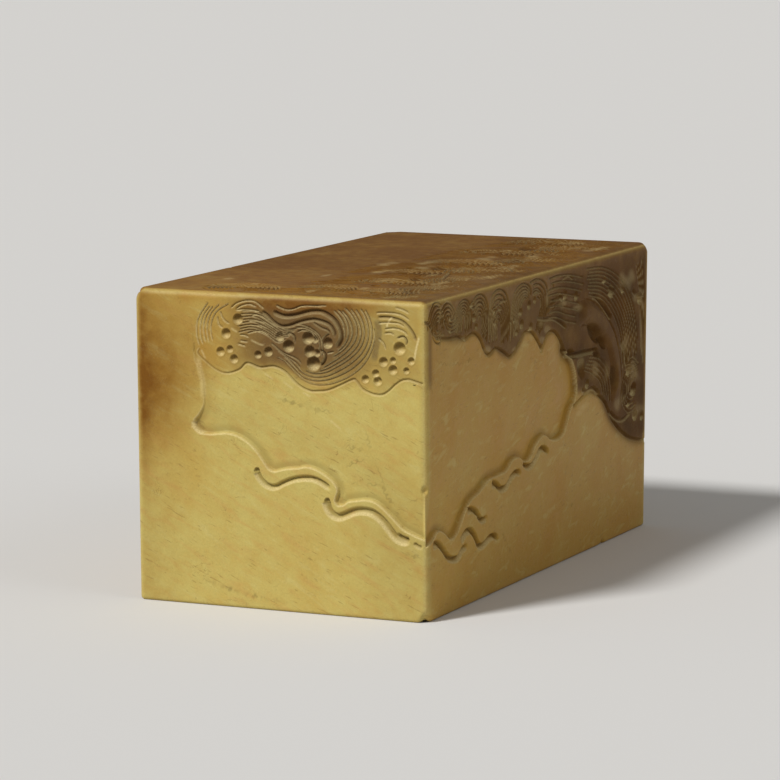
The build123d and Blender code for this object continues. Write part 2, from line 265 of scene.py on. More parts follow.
@dataclass
class Skin:
    """The worked surface of one face: a grid of heights and of what colours it."""

    side: Side
    stone: Stone
    across: np.ndarray = field(init=False)
    upward: np.ndarray = field(init=False)
    u: np.ndarray = field(init=False)
    v: np.ndarray = field(init=False)
    height: np.ndarray = field(init=False)
    cut: np.ndarray = field(init=False)
    paint: dict[str, np.ndarray] = field(init=False)

    def __post_init__(self) -> None:
        """Lays out the grid of this side, seen from outside, from its lower left."""
        x, y, z = self.stone.across(), self.stone.along(), self.stone.upward()
        self.across, self.upward = {
            Side.FRONT: (x, z),
            Side.RIGHT: (y, z),
            Side.BACK: (self.stone.width - x[::-1], z),
            Side.LEFT: (self.stone.length - y[::-1], z),
            Side.TOP: (x, y),
        }[self.side]
        self.u, self.v = np.meshgrid(self.across, self.upward)
        self.height = np.zeros_like(self.u)
        self.cut = np.zeros_like(self.u)
        # The darkening colouring carries grime and painted shade; the paling one carries pale wear and painted
        # highlights.
        self.paint = {name: np.zeros_like(self.u) for name in ("rind", "patina", "worn", "warm", "ash")}

    def sharp(self, u: np.ndarray, v: np.ndarray) -> np.ndarray:
        """Turns places on this face into points of the sharp block.

        Args:
            u: the places across the face, in mm.
            v: the places up the face, in mm.

        Returns:
            The points, in mm.
        """
        half_width, half_length = self.stone.width / 2, self.stone.length / 2
        one = np.ones_like(u)
        return np.stack(
            {
                Side.FRONT: (u - half_width, -half_length * one, v),
                Side.RIGHT: (half_width * one, u - half_length, v),
                Side.BACK: (half_width - u, half_length * one, v),
                Side.LEFT: (-half_width * one, half_length - u, v),
                Side.TOP: (u - half_width, v - half_length, self.stone.height * one),
            }[self.side],
            axis=-1,
        )

    def outward(self) -> Vector:
        """Gives the way that this face looks.

        Returns:
            A direction of length 1.
        """
        return Vector(
            {
                Side.FRONT: (0, -1, 0),
                Side.RIGHT: (1, 0, 0),
                Side.BACK: (0, 1, 0),
                Side.LEFT: (-1, 0, 0),
                Side.TOP: (0, 0, 1),
            }[self.side]
        )

    def window(self, low: np.ndarray, high: np.ndarray) -> Area:
        """Finds the part of the grid between two corners.

        Args:
            low: the lower left corner, in mm.
            high: the upper right corner, in mm.

        Returns:
            The rows and the columns.
        """
        cols = np.searchsorted(self.across, (low[0], high[0]))
        rows = np.searchsorted(self.upward, (low[1], high[1]))
        return slice(rows[0], rows[1]), slice(cols[0], cols[1])

    def patch(self, u: float, v: float, wide: float, tall: float, turn: float = 0.0) -> tuple[Area, np.ndarray]:
        """Measures an oval on the face.

        Args:
            u: its middle across the face, in mm.
            v: its middle up the face, in mm.
            wide: how far it reaches across.
            tall: how far it reaches up.
            turn: how much it sinks for each mm across.

        Returns:
            The window round it, and in it how far each point is from the middle, 1 at the rim.
        """
        area = self.window(np.array([u - wide, v - tall]), np.array([u + wide, v + tall]))
        across = self.u[area] - u
        return area, np.hypot(across / wide, (self.v[area] - v + turn * across) / tall)

    def beside(self, points: Points, reach: float) -> tuple[Area, np.ndarray, np.ndarray, np.ndarray]:
        """Measures how far the grid lies from a drawn line.

        Args:
            points: the drawn line, in mm.
            reach: how far from the line to measure.

        Returns:
            The window, and in it the distance, the side (1 on the left of the way
            that the line runs) and the share of the line's length at the nearest point.
        """
        line = flowing(points)
        area = self.window(line.min(0) - reach, line.max(0) + reach)
        u, v = self.u[area], self.v[area]
        near = np.full(u.shape, reach)
        side = np.zeros(u.shape)
        share = np.zeros(u.shape)
        lengths = np.r_[0, np.cumsum(np.linalg.norm(np.diff(line, axis=0), axis=1))]
        left, top = area[1].start, area[0].start
        ways = np.diff(line, axis=0) / np.maximum(np.diff(lengths), 1e-9)[:, None]
        turns = np.vstack([ways[:1], ways[1:] + ways[:-1], ways[-1:]])
        for i, (a, b) in enumerate(zip(line[:-1], line[1:])):
            rows, cols = self.window(np.minimum(a, b) - reach, np.maximum(a, b) + reach)
            part = (slice(rows.start - top, rows.stop - top), slice(cols.start - left, cols.stop - left))
            du, dv = u[part] - a[0], v[part] - a[1]
            run = b - a
            size = max(float(run @ run), 1e-12)
            t = np.clip((du * run[0] + dv * run[1]) / size, 0, 1)
            away = np.hypot(du - t * run[0], dv - t * run[1])
            closer = away < near[part]
            near[part] = np.where(closer, away, near[part])
            way = [np.where(t <= 0, turns[i][k], np.where(t >= 1, turns[i + 1][k], ways[i][k])) for k in (0, 1)]
            cross = way[0] * (dv - t * run[1]) - way[1] * (du - t * run[0])
            side[part] = np.where(closer, np.sign(cross), side[part])
            along = (lengths[i] + t * math.sqrt(size)) / lengths[-1]
            share[part] = np.where(closer, along, share[part])
        return area, near, side, share

    def carve(
        self,
        points: Points,
        width: float,
        depth: float,
        blade: Blade,
        taper: tuple[float, float],
        patina: float,
        worn: float,
        broad_start: float = 1.0,
    ) -> None:
        """Cuts one stroke along a drawn line.

        Args:
            points: the drawn line, in mm.
            width: the full width of the cut, in mm.
            depth: its depth, in mm.
            blade: the shape of its walls.
            taper: how far from the start and the end the cut reaches its depth, in mm.
            patina: how dark the cut is made, grime and painted shade together.
            worn: how bright the painted highlight on its lower wall is.
            broad_start: how many times wider the stroke starts.
        """
        reach = width / 2 * max(1.0, broad_start) + 0.25
        area, near, side, share = self.beside(points, reach)
        line = flowing(points)
        length = float(np.linalg.norm(np.diff(line, axis=0), axis=1).sum())
        travelled = share * length
        fade = eased(travelled, -0.01, taper[0]) * eased(length - travelled, -0.01, taper[1])
        half = width / 2 * (broad_start + (1 - broad_start) * eased(travelled, 0.0, 2.2))
        half = half * (0.55 + 0.45 * fade)
        place = near / half
        if blade is Blade.KNIFE:
            shape = np.clip(1 - place, 0, 1)
        else:
            signed = np.clip(near * side / half, -1, 1)
            shape = np.where(signed > 0.45, (1 - signed) / 0.55, ((1 + signed) / 1.45) ** 0.75)
            shape = np.where(place < 1, np.clip(shape, 0, 1), 0)
        self.cut[area] = np.maximum(self.cut[area], shape * depth * fade)
        # Darkens the groove: grime and painted shade together.
        self.tint("patina", area, shape * fade * patina)
        if worn:
            # Painted highlight on the lower wall, as from light above.
            lower = eased(-side * place, 0.05, 0.6) * (1 - eased(place, 0.95, 1.25)) * fade
            self.tint("worn", area, lower * worn)

    def tint(self, name: str, area: Area, amount: np.ndarray) -> None:
        """Deepens one of the face's colourings where the amount is larger."""
        self.paint[name][area] = np.maximum(self.paint[name][area], amount)

    def pit(self, u: float, v: float, radius: float, depth: float, patina: float = 0.7, worn: float = 0.8) -> None:
        """Sinks one round pit, with painted shade under its upper lip and a painted highlight on its lower wall.

        Args:
            u: its place across the face, in mm.
            v: its place up the face, in mm.
            radius: its radius at the face, in mm.
            depth: how deep it is, in mm.
            patina: how dark the painted shade under its upper lip is.
            worn: how bright the painted highlight on its lower wall is.
        """
        reach = radius * 1.6
        area = self.window(np.array([u - reach, v - reach]), np.array([u + reach, v + reach]))
        du, dv = self.u[area] - u, self.v[area] - v
        place = np.hypot(du, dv) / radius
        bowl = np.sqrt(np.clip(1 - place**2, 0, 1)) ** 0.9
        self.cut[area] = np.maximum(self.cut[area], bowl * depth)
        self.height[area] += np.exp(-(((place - 1.15) / 0.16) ** 2)) * 0.05
        # Painted shade under the upper lip and a painted highlight on the lower wall, as from light above.
        lean = -dv / np.maximum(np.hypot(du, dv), 1e-6)
        self.tint("patina", area, eased(-lean * place, -0.5, 0.5) * (1 - eased(place, 0.8, 1.15)) * patina)
        self.tint("worn", area, eased(lean * place, -0.1, 0.75) * (1 - eased(place, 0.85, 1.2)) * worn)

    def step(
        self, points: Points, depth: float, run: float, fades: tuple[float, float] = (90, 91), left: float = 0.0
    ) -> None:
        """Sinks the ground on the left of a line, deepest beside it and running out to the face's level, with a painted
        highlight along the raised edge and painted shade on the ground beside it.

        Args:
            points: the line, with the raised edge on its right.
            depth: how deep the ground lies beside it, in mm.
            run: how far from the line the ground comes up again, in mm.
            fades: the heights between which the step fades away, in mm.
            left: the share of the step that stays above them.
        """
        area, near, side, _ = self.beside(points, run + 0.5)
        above = np.where(side > 0, near, -near)
        strength = left + (1 - left) * (1 - eased(self.v[area], *fades))
        slope = eased(above, -0.05, 0.2) * (1 - eased(above, 0.35, run)) * depth * strength
        soft = np.zeros_like(self.cut)
        soft[area] = slope
        soft = self.blurred(soft, 0.7)[area]
        far = eased(above, 0.5, 1.8)
        self.cut[area] = np.maximum(self.cut[area], slope * (1 - far) + soft * far)
        # Painted highlight along the raised edge.
        self.tint("worn", area, (1 - eased(np.abs(above + 0.03), 0.03, 0.14)) * 0.8 * strength)
        # Painted shade on the sunk ground just beside the edge.
        self.tint("patina", area, eased(above, 0.08, 0.3) * (1 - eased(above, 0.4, 1.2)) * 0.3 * strength)

    def crack(self, points: Points, width: float, strength: float) -> None:
        """Darkens a thin natural crack, which wanders about its drawn line.

        Args:
            points: the line, in mm.
            width: about how wide it is, in mm.
            strength: how dark it is.
        """
        wander = 0.12 * np.sin(self.u * 7.1 + self.v * 3.7) + 0.1 * np.sin(self.v * 9.3 - self.u * 4.1)
        area, near, side, share = self.beside(points, width + 0.4)
        away = np.abs(near * side + wander[area])
        broken = 0.6 + 0.4 * np.sin(self.u[area] * 1.7 + 1.4 * np.sin(self.v[area] * 1.3))
        fade = eased(share, 0, 0.15) * (1 - eased(share, 0.8, 1))
        self.tint("patina", area, (1 - eased(away, 0.2 * width, width)) * strength * fade * broken)

    def rub(self, points: Points, width: float, strength: float, name: str = "worn") -> None:
        """Colours a soft line on the face, such as a pale scratch.

        Args:
            points: the line, in mm.
            width: its full width, in mm.
            strength: how strong it is.
            name: which of the colourings it deepens.
        """
        area, near, _, share = self.beside(points, width)
        fade = eased(share, 0, 0.15) * (1 - eased(share, 0.8, 1))
        self.tint(name, area, (1 - eased(near, 0.15 * width, 0.55 * width)) * strength * fade)

    def settle(self) -> None:
        """Takes the cuts from the face and lets the relief run out at its edges."""
        size_u, size_v = self.across[-1], self.upward[-1]
        edge = np.minimum(np.minimum(self.u, size_u - self.u), size_v - self.v)
        if self.side is Side.TOP:
            edge = np.minimum(edge, self.v)
        self.height = (self.height - self.cut) * eased(edge, 0.02, 0.45)

    def blurred(self, values: np.ndarray, reach: float, times: int = 2) -> np.ndarray:
        """Softens values of the grid over a distance, by running means.

        Args:
            values: one number for each grid point.
            reach: the half width of each mean, in mm.
            times: how often it is repeated.

        Returns:
            The softened values.
        """
        count = 8
        for _ in range(times):
            for axis, lines in ((1, self.across), (0, self.upward)):
                fine = np.arange(lines[0], lines[-1] + reach / 8, reach / 4)
                moved = np.moveaxis(values, axis, -1)
                spot = np.clip(np.searchsorted(lines, fine) - 1, 0, len(lines) - 2)
                part = np.clip((fine - lines[spot]) / (lines[spot + 1] - lines[spot]), 0, 1)
                dense = moved[..., spot] * (1 - part) + moved[..., spot + 1] * part
                padded = np.pad(dense, ((0, 0), (count // 2, count // 2)), mode="edge")
                sums = np.cumsum(np.pad(padded, ((0, 0), (1, 0))), axis=-1)
                mean = (sums[:, count + 1:] - sums[:, : -count - 1]) * (1 / (count + 1))
                place = np.clip((lines - fine[0]) / (fine[1] - fine[0]), 0, len(fine) - 1.001)
                whole = place.astype(int)
                rest = place - whole
                back = mean[:, whole] * (1 - rest) + mean[:, np.minimum(whole + 1, len(fine) - 1)] * rest
                values = np.moveaxis(back, -1, axis)
        return values


@dataclass
class Frame:
    """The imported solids, looked up from outside to see which one lies where."""

    names: list[str] = field(default_factory=list)

    def __post_init__(self) -> None:
        """Gathers the triangles of all the solids."""
        points: list[Vector] = []
        corners: list[tuple[int, ...]] = []
        self.owner: list[int] = []
        for number, (name, node) in enumerate(sorted(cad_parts.items())):
            self.names.append(name)
            start = len(points)
            points.extend(v.co.copy() for v in node.data.vertices)
            for face in node.data.polygons:
                corners.append(tuple(start + v for v in face.vertices))
                self.owner.append(number)
        self.tree = BVHTree.FromPolygons(points, corners)

    def look(self, skin: Skin) -> tuple[np.ndarray, np.ndarray]:
        """Looks at the solids through each cell of a face's grid.

        Args:
            skin: the face.

        Returns:
            The number of the solid behind each cell, and how deep it lies, in mm.
        """
        u = (skin.across[1:] + skin.across[:-1]) / 2
        v = (skin.upward[1:] + skin.upward[:-1]) / 2
        centres = skin.sharp(*np.meshgrid(u, v))
        outward = skin.outward()
        lift = 5.0
        starts = ((centres + np.array(outward) * lift) * MM).reshape(-1, 3)
        seen = np.full(len(starts), -1)
        depth = np.zeros(len(starts))
        inward = -outward
        cast = self.tree.ray_cast
        core = self.names.index("stone_core")
        for i, start in enumerate(starts.tolist()):
            _, _, face, distance = cast(start, inward)
            if face is not None and self.owner[face] != core and distance / MM - lift < DEEPEST:
                seen[i] = self.owner[face]
                depth[i] = distance / MM - lift
        shape = centres.shape[:2]
        seen, depth = seen.reshape(shape), depth.reshape(shape)
        rounds = 16
        for _ in range(rounds):
            lost = seen < 0
            if not lost.any():
                break
            wide = np.pad(seen, 1, constant_values=-1)
            for moved in (wide[:-2, 1:-1], wide[2:, 1:-1], wide[1:-1, :-2], wide[1:-1, 2:]):
                seen = np.where(lost & (moved >= 0) & (seen < 0), moved, seen)
        return seen, np.clip(depth, 0, DEEPEST)


class Wire:
    """A shader socket that takes part in sums, so that maths reads as maths."""

    def __init__(self, shop: "Shader", socket: bpy.types.NodeSocket) -> None:
        """Wraps one output socket of a shader."""
        self.shop = shop
        self.socket = socket

    def maths(self, operation: str, *values: "Wire | float") -> "Wire":
        """Adds one Math node."""
        return self.shop.node("ShaderNodeMath", {"operation": operation}, dict(enumerate(values)))

    def __add__(self, other: "Wire | float") -> "Wire":
        """Adds."""
        return self.maths("ADD", self, other)

    __radd__ = __add__

    def __mul__(self, other: "Wire | float") -> "Wire":
        """Multiplies."""
        return self.maths("MULTIPLY", self, other)

    __rmul__ = __mul__

    def __sub__(self, other: "Wire | float") -> "Wire":
        """Subtracts."""
        return self.maths("SUBTRACT", self, other)

    def __rsub__(self, other: "Wire | float") -> "Wire":
        """Subtracts this from a number."""
        return self.maths("SUBTRACT", other, self)

    def __abs__(self) -> "Wire":
        """Drops the sign."""
        return self.maths("ABSOLUTE", self)

    def between(self, low: float, high: float) -> "Wire":
        """Goes smoothly from 0 at low to 1 at high.

        Args:
            low: the value that gives 0.
            high: the value that gives 1, which may be the lesser.

        Returns:
            The new value.
        """
        settings = {"interpolation_type": "SMOOTHSTEP"}
        ends = (low, high, 0.0, 1.0) if low < high else (high, low, 1.0, 0.0)
        return self.shop.node("ShaderNodeMapRange", settings, dict(enumerate((self, *ends))), 0)


class Shader:
    """Builds the nodes of one material."""

    def __init__(self, name: str) -> None:
        """Starts an empty material.

        Args:
            name: the finish's name.
        """
        self.material = bpy.data.materials.new(name)
        self.material.use_nodes = True
        self.tree = self.material.node_tree
        self.tree.nodes.clear()

    def node(
        self, kind: str, settings: dict[str, object], values: dict[int | str, object], output: int | str = 0
    ) -> Wire:
        """Adds a node.

        Args:
            kind: the node's type.
            settings: its settings, set before its sockets.
            values: numbers, colours or wires for its sockets, by place or name.
            output: which of its outputs is wanted.

        Returns:
            The wanted output.
        """
        made = self.tree.nodes.new(kind)
        for key, value in settings.items():
            setattr(made, key, value)
        for key, value in values.items():
            if isinstance(value, Wire):
                self.tree.links.new(value.socket, made.inputs[key])
            else:
                made.inputs[key].default_value = value
        return Wire(self, made.outputs[output])

    def mask(self, name: str) -> Wire:
        """Reads one of the carver's colourings from the mesh."""
        return self.node("ShaderNodeAttribute", {"attribute_name": name}, {}, "Fac")

    def mix(self, share: Wire | float, first: object, second: object, how: str = "MIX") -> Wire:
        """Mixes two colours."""
        settings = {"data_type": "RGBA", "blend_type": how, "clamp_factor": True}
        return self.node("ShaderNodeMix", settings, {0: share, 6: first, 7: second}, 2)

    def noise(self, place: Wire, per_mm: float, detail: float = 2.0, rough: float = 0.5, warp: float = 0.0) -> Wire:
        """Adds soft noise.

        Args:
            place: the coordinates it reads.
            per_mm: how many of its waves go in a millimetre.
            detail: how many finer layers it has.
            rough: how strong those are.
            warp: how far it is twisted.

        Returns:
            Its value, about 0.5 on average.
        """
        values = {"Vector": place, "Scale": per_mm / MM, "Detail": detail, "Roughness": rough, "Distortion": warp}
        return self.node("ShaderNodeTexNoise", {}, values, 0)

    def turned(self, place: Wire, angles: tuple[float, float, float], stretch: tuple[float, float, float]) -> Wire:
        """Turns and stretches coordinates."""
        values = {"Vector": place, "Rotation": angles, "Scale": tuple(1 / size for size in stretch)}
        return self.node("ShaderNodeMapping", {"vector_type": "TEXTURE"}, values, 0)


@dataclass(frozen=True)
class WaxedStone:
    """The finish of the carved skin: waxed yellow stone under a brown rind."""

    name: str = "waxed_yellow_stone"
    pale: Colour = (0.545, 0.44, 0.13, 1)
    honey: Colour = (0.46, 0.25, 0.036, 1)
    rind: Colour = (0.19, 0.076, 0.007, 1)
    # Dark brown of the carving's grime and of its painted shade.
    dirt_and_shade: Colour = (0.055, 0.026, 0.006, 1)
    # Pale of worn places and of painted highlights.
    rubbed_and_highlight: Colour = (0.76, 0.62, 0.30, 1)
    ash: Colour = (0.122, 0.077, 0.034, 1)
    blush: Colour = (0.52, 0.29, 0.085, 1)
    vein: Colour = (0.22, 0.12, 0.03, 1)
    milk: Colour = (0.60, 0.52, 0.20, 1)
    roughness: float = 0.44
    bending: float = 1.55
    gloss: float = 0.12
    grain_height: float = 0.00008

    def make(self) -> bpy.types.Material:
        """Builds the material.

        Returns:
            The material.
        """
        shop = Shader(self.name)
        place = shop.node("ShaderNodeTexCoord", {}, {}, "Object")
        rind, patina, worn = shop.mask("rind"), shop.mask("patina"), shop.mask("worn")
        warm, ash = shop.mask("warm"), shop.mask("ash")
        clouding = shop.noise(place, 0.11, 3, 0.55, 0.4)
        mottle = shop.noise(place, 0.7, 4, 0.6, 0.3)
        grain = shop.noise(place, 5.0, 3, 0.65)
        streaks = shop.noise(shop.turned(place, (0.3, 0.44, 0.2), (0.5, 0.8, 2.6)), 0.4, 5, 0.6, 0.6)
        dashes = shop.noise(shop.turned(place, (0.2, 0.40, 0.1), (0.6, 0.8, 4.5)), 1.1, 2, 0.5, 0.3)
        vein_run = shop.noise(place, 0.17, 5, 0.6, 1.2)
        veins = (abs(vein_run - 0.5)).between(0.006, 0.0) * shop.noise(place, 0.3, 2).between(0.52, 0.68)
        fleck = shop.noise(place, 2.2, 2, 0.5, 0.5).between(0.66, 0.76)
        body = shop.mix(warm + (clouding - 0.5) * 0.9, self.pale, self.honey)
        body = shop.mix(streaks.between(0.48, 0.74) * 0.42, body, self.blush)
        body = shop.mix(streaks.between(0.47, 0.30) * 0.3, body, self.milk)
        body = shop.mix(mottle.between(0.35, 0.75) * 0.22, body, self.honey)
        body = shop.mix(rind * (0.92 + (mottle - 0.5) * 0.9 + (clouding - 0.5) * 0.6), body, self.rind)
        body = shop.mix(veins * 0.5, body, self.vein)
        body = shop.mix(fleck * 0.22, body, self.vein)
        body = shop.mix(dashes.between(0.64, 0.74) * 0.4, body, self.vein)
        body = shop.mix(ash * (0.4 + grain * 0.8), body, self.ash)
        # Grime and painted shade in the cuts, pits and hollows, and along sunk ground.
        body = shop.mix(patina * (0.75 + (grain - 0.5) * 0.8), body, self.dirt_and_shade)
        # Pale wear, and painted highlights on the lower walls of cuts and pits, along raised edges and on sheen
        # patches.
        body = shop.mix(worn * (0.7 + (grain - 0.5) * 1.4), body, self.rubbed_and_highlight)
        scratch = None
        for number, (angles, stretch) in enumerate(
            (((0.2, 0.4, 0.3), (0.3, 0.3, 9.0)), ((0.9, 0.2, 1.2), (9.0, 0.4, 0.5)), ((0.1, 1.1, 0.2),
             (0.5, 0.5, 7.0)))
        ):
            lines = shop.noise(shop.turned(place, angles, stretch), 0.55 + 0.2 * number, 2, 0.5, 0.2)
            lines = (abs(lines - 0.5)).between(0.006, 0.0) * shop.noise(place, 0.4 + 0.13 * number, 1).between(0.5, 0.7)
            scratch = lines if scratch is None else scratch + lines
        body = shop.mix(scratch * 0.16, body, self.rubbed_and_highlight)
        tone = 0.86 + grain * 0.28
        body = shop.mix(1.0, body, shop.node("ShaderNodeCombineColor", {}, {0: tone, 1: tone, 2: tone}), "MULTIPLY")
        rough = self.roughness + patina * 0.2 + (grain - 0.5) * 0.22 + worn * 0.06 + rind * 0.08
        relief = (grain - 0.5) * 0.35 + (shop.noise(place, 1.6, 3, 0.6) - 0.5) * 0.9 - scratch * 0.35 - veins * 0.3
        bump = shop.node("ShaderNodeBump", {}, {"Strength": 0.5, "Distance": self.grain_height, "Height": relief}, "Normal")
        values = {
            "Base Color": body,
            "Roughness": rough,
            "Normal": bump,
            "IOR": self.bending,
            "Specular IOR Level": self.gloss,
        }
        surface = shop.node("ShaderNodeBsdfPrincipled", {}, values, "BSDF")
        out = shop.tree.nodes.new("ShaderNodeOutputMaterial")
        shop.tree.links.new(surface.socket, out.inputs["Surface"])
        return shop.material


@dataclass(frozen=True)
class Fan:
    """Fine comb lines that run round a centre, in mm and degrees."""

    centre: tuple[float, float]
    inner: float
    outer: float
    start: float
    stop: float
    pitch: float = 0.46
    tall: float = 1.0

    def lines(self) -> list[Points]:
        """Draws the lines, each a little uneven as a hand leaves it.

        Returns:
            The lines, in mm on the face.
        """
        drawn = []
        count = max(1, round((self.outer - self.inner) / self.pitch))
        for number in range(count + 1):
            radius = self.inner + number * self.pitch
            uneven = math.sin(number * 2.7 + self.centre[0])
            turns = np.radians(np.linspace(self.start + 9 * uneven, self.stop - 7 * uneven, 7))
            swell = radius * (1 + 0.05 * np.sin(turns * 3 + self.centre[0] + 0.4 * number))
            drawn.append(
                tuple(
                    (self.centre[0] + r * math.cos(t), self.centre[1] + r * self.tall * math.sin(t))
                    for r, t in zip(swell.tolist(), turns.tolist())
                )
            )
        return drawn


@dataclass(frozen=True)
class Comb:
    """Fine lines laid side by side between two drawn ones."""

    first: Points
    last: Points
    count: int

    @staticmethod
    def along(points: Points, spots: np.ndarray) -> np.ndarray:
        """Finds the points at shares of a line's length.

        Args:
            points: the line, in mm.
            spots: the shares.

        Returns:
            The points, a row each.
        """
        line = flowing(points, 6)
        lengths = np.r_[0, np.cumsum(np.linalg.norm(np.diff(line, axis=0), axis=1))]
        return np.stack([np.interp(spots * lengths[-1], lengths, line[:, axis]) for axis in (0, 1)], axis=1)

    def lines(self) -> list[Points]:
        """Draws the lines, each a little uneven as a hand leaves it.

        Returns:
            The lines, in mm on the face.
        """
        drawn = []
        for number in range(self.count):
            share = number / max(1, self.count - 1)
            uneven = math.sin(number * 2.1 + self.first[0][0])
            spots = np.linspace(max(0.0, 0.05 * uneven), 1 - max(0.0, -0.07 * uneven), 12)
            line = self.along(self.first, spots) * (1 - share) + self.along(self.last, spots) * share
            drawn.append(tuple((u, v) for u, v in line.tolist()))
        return drawn


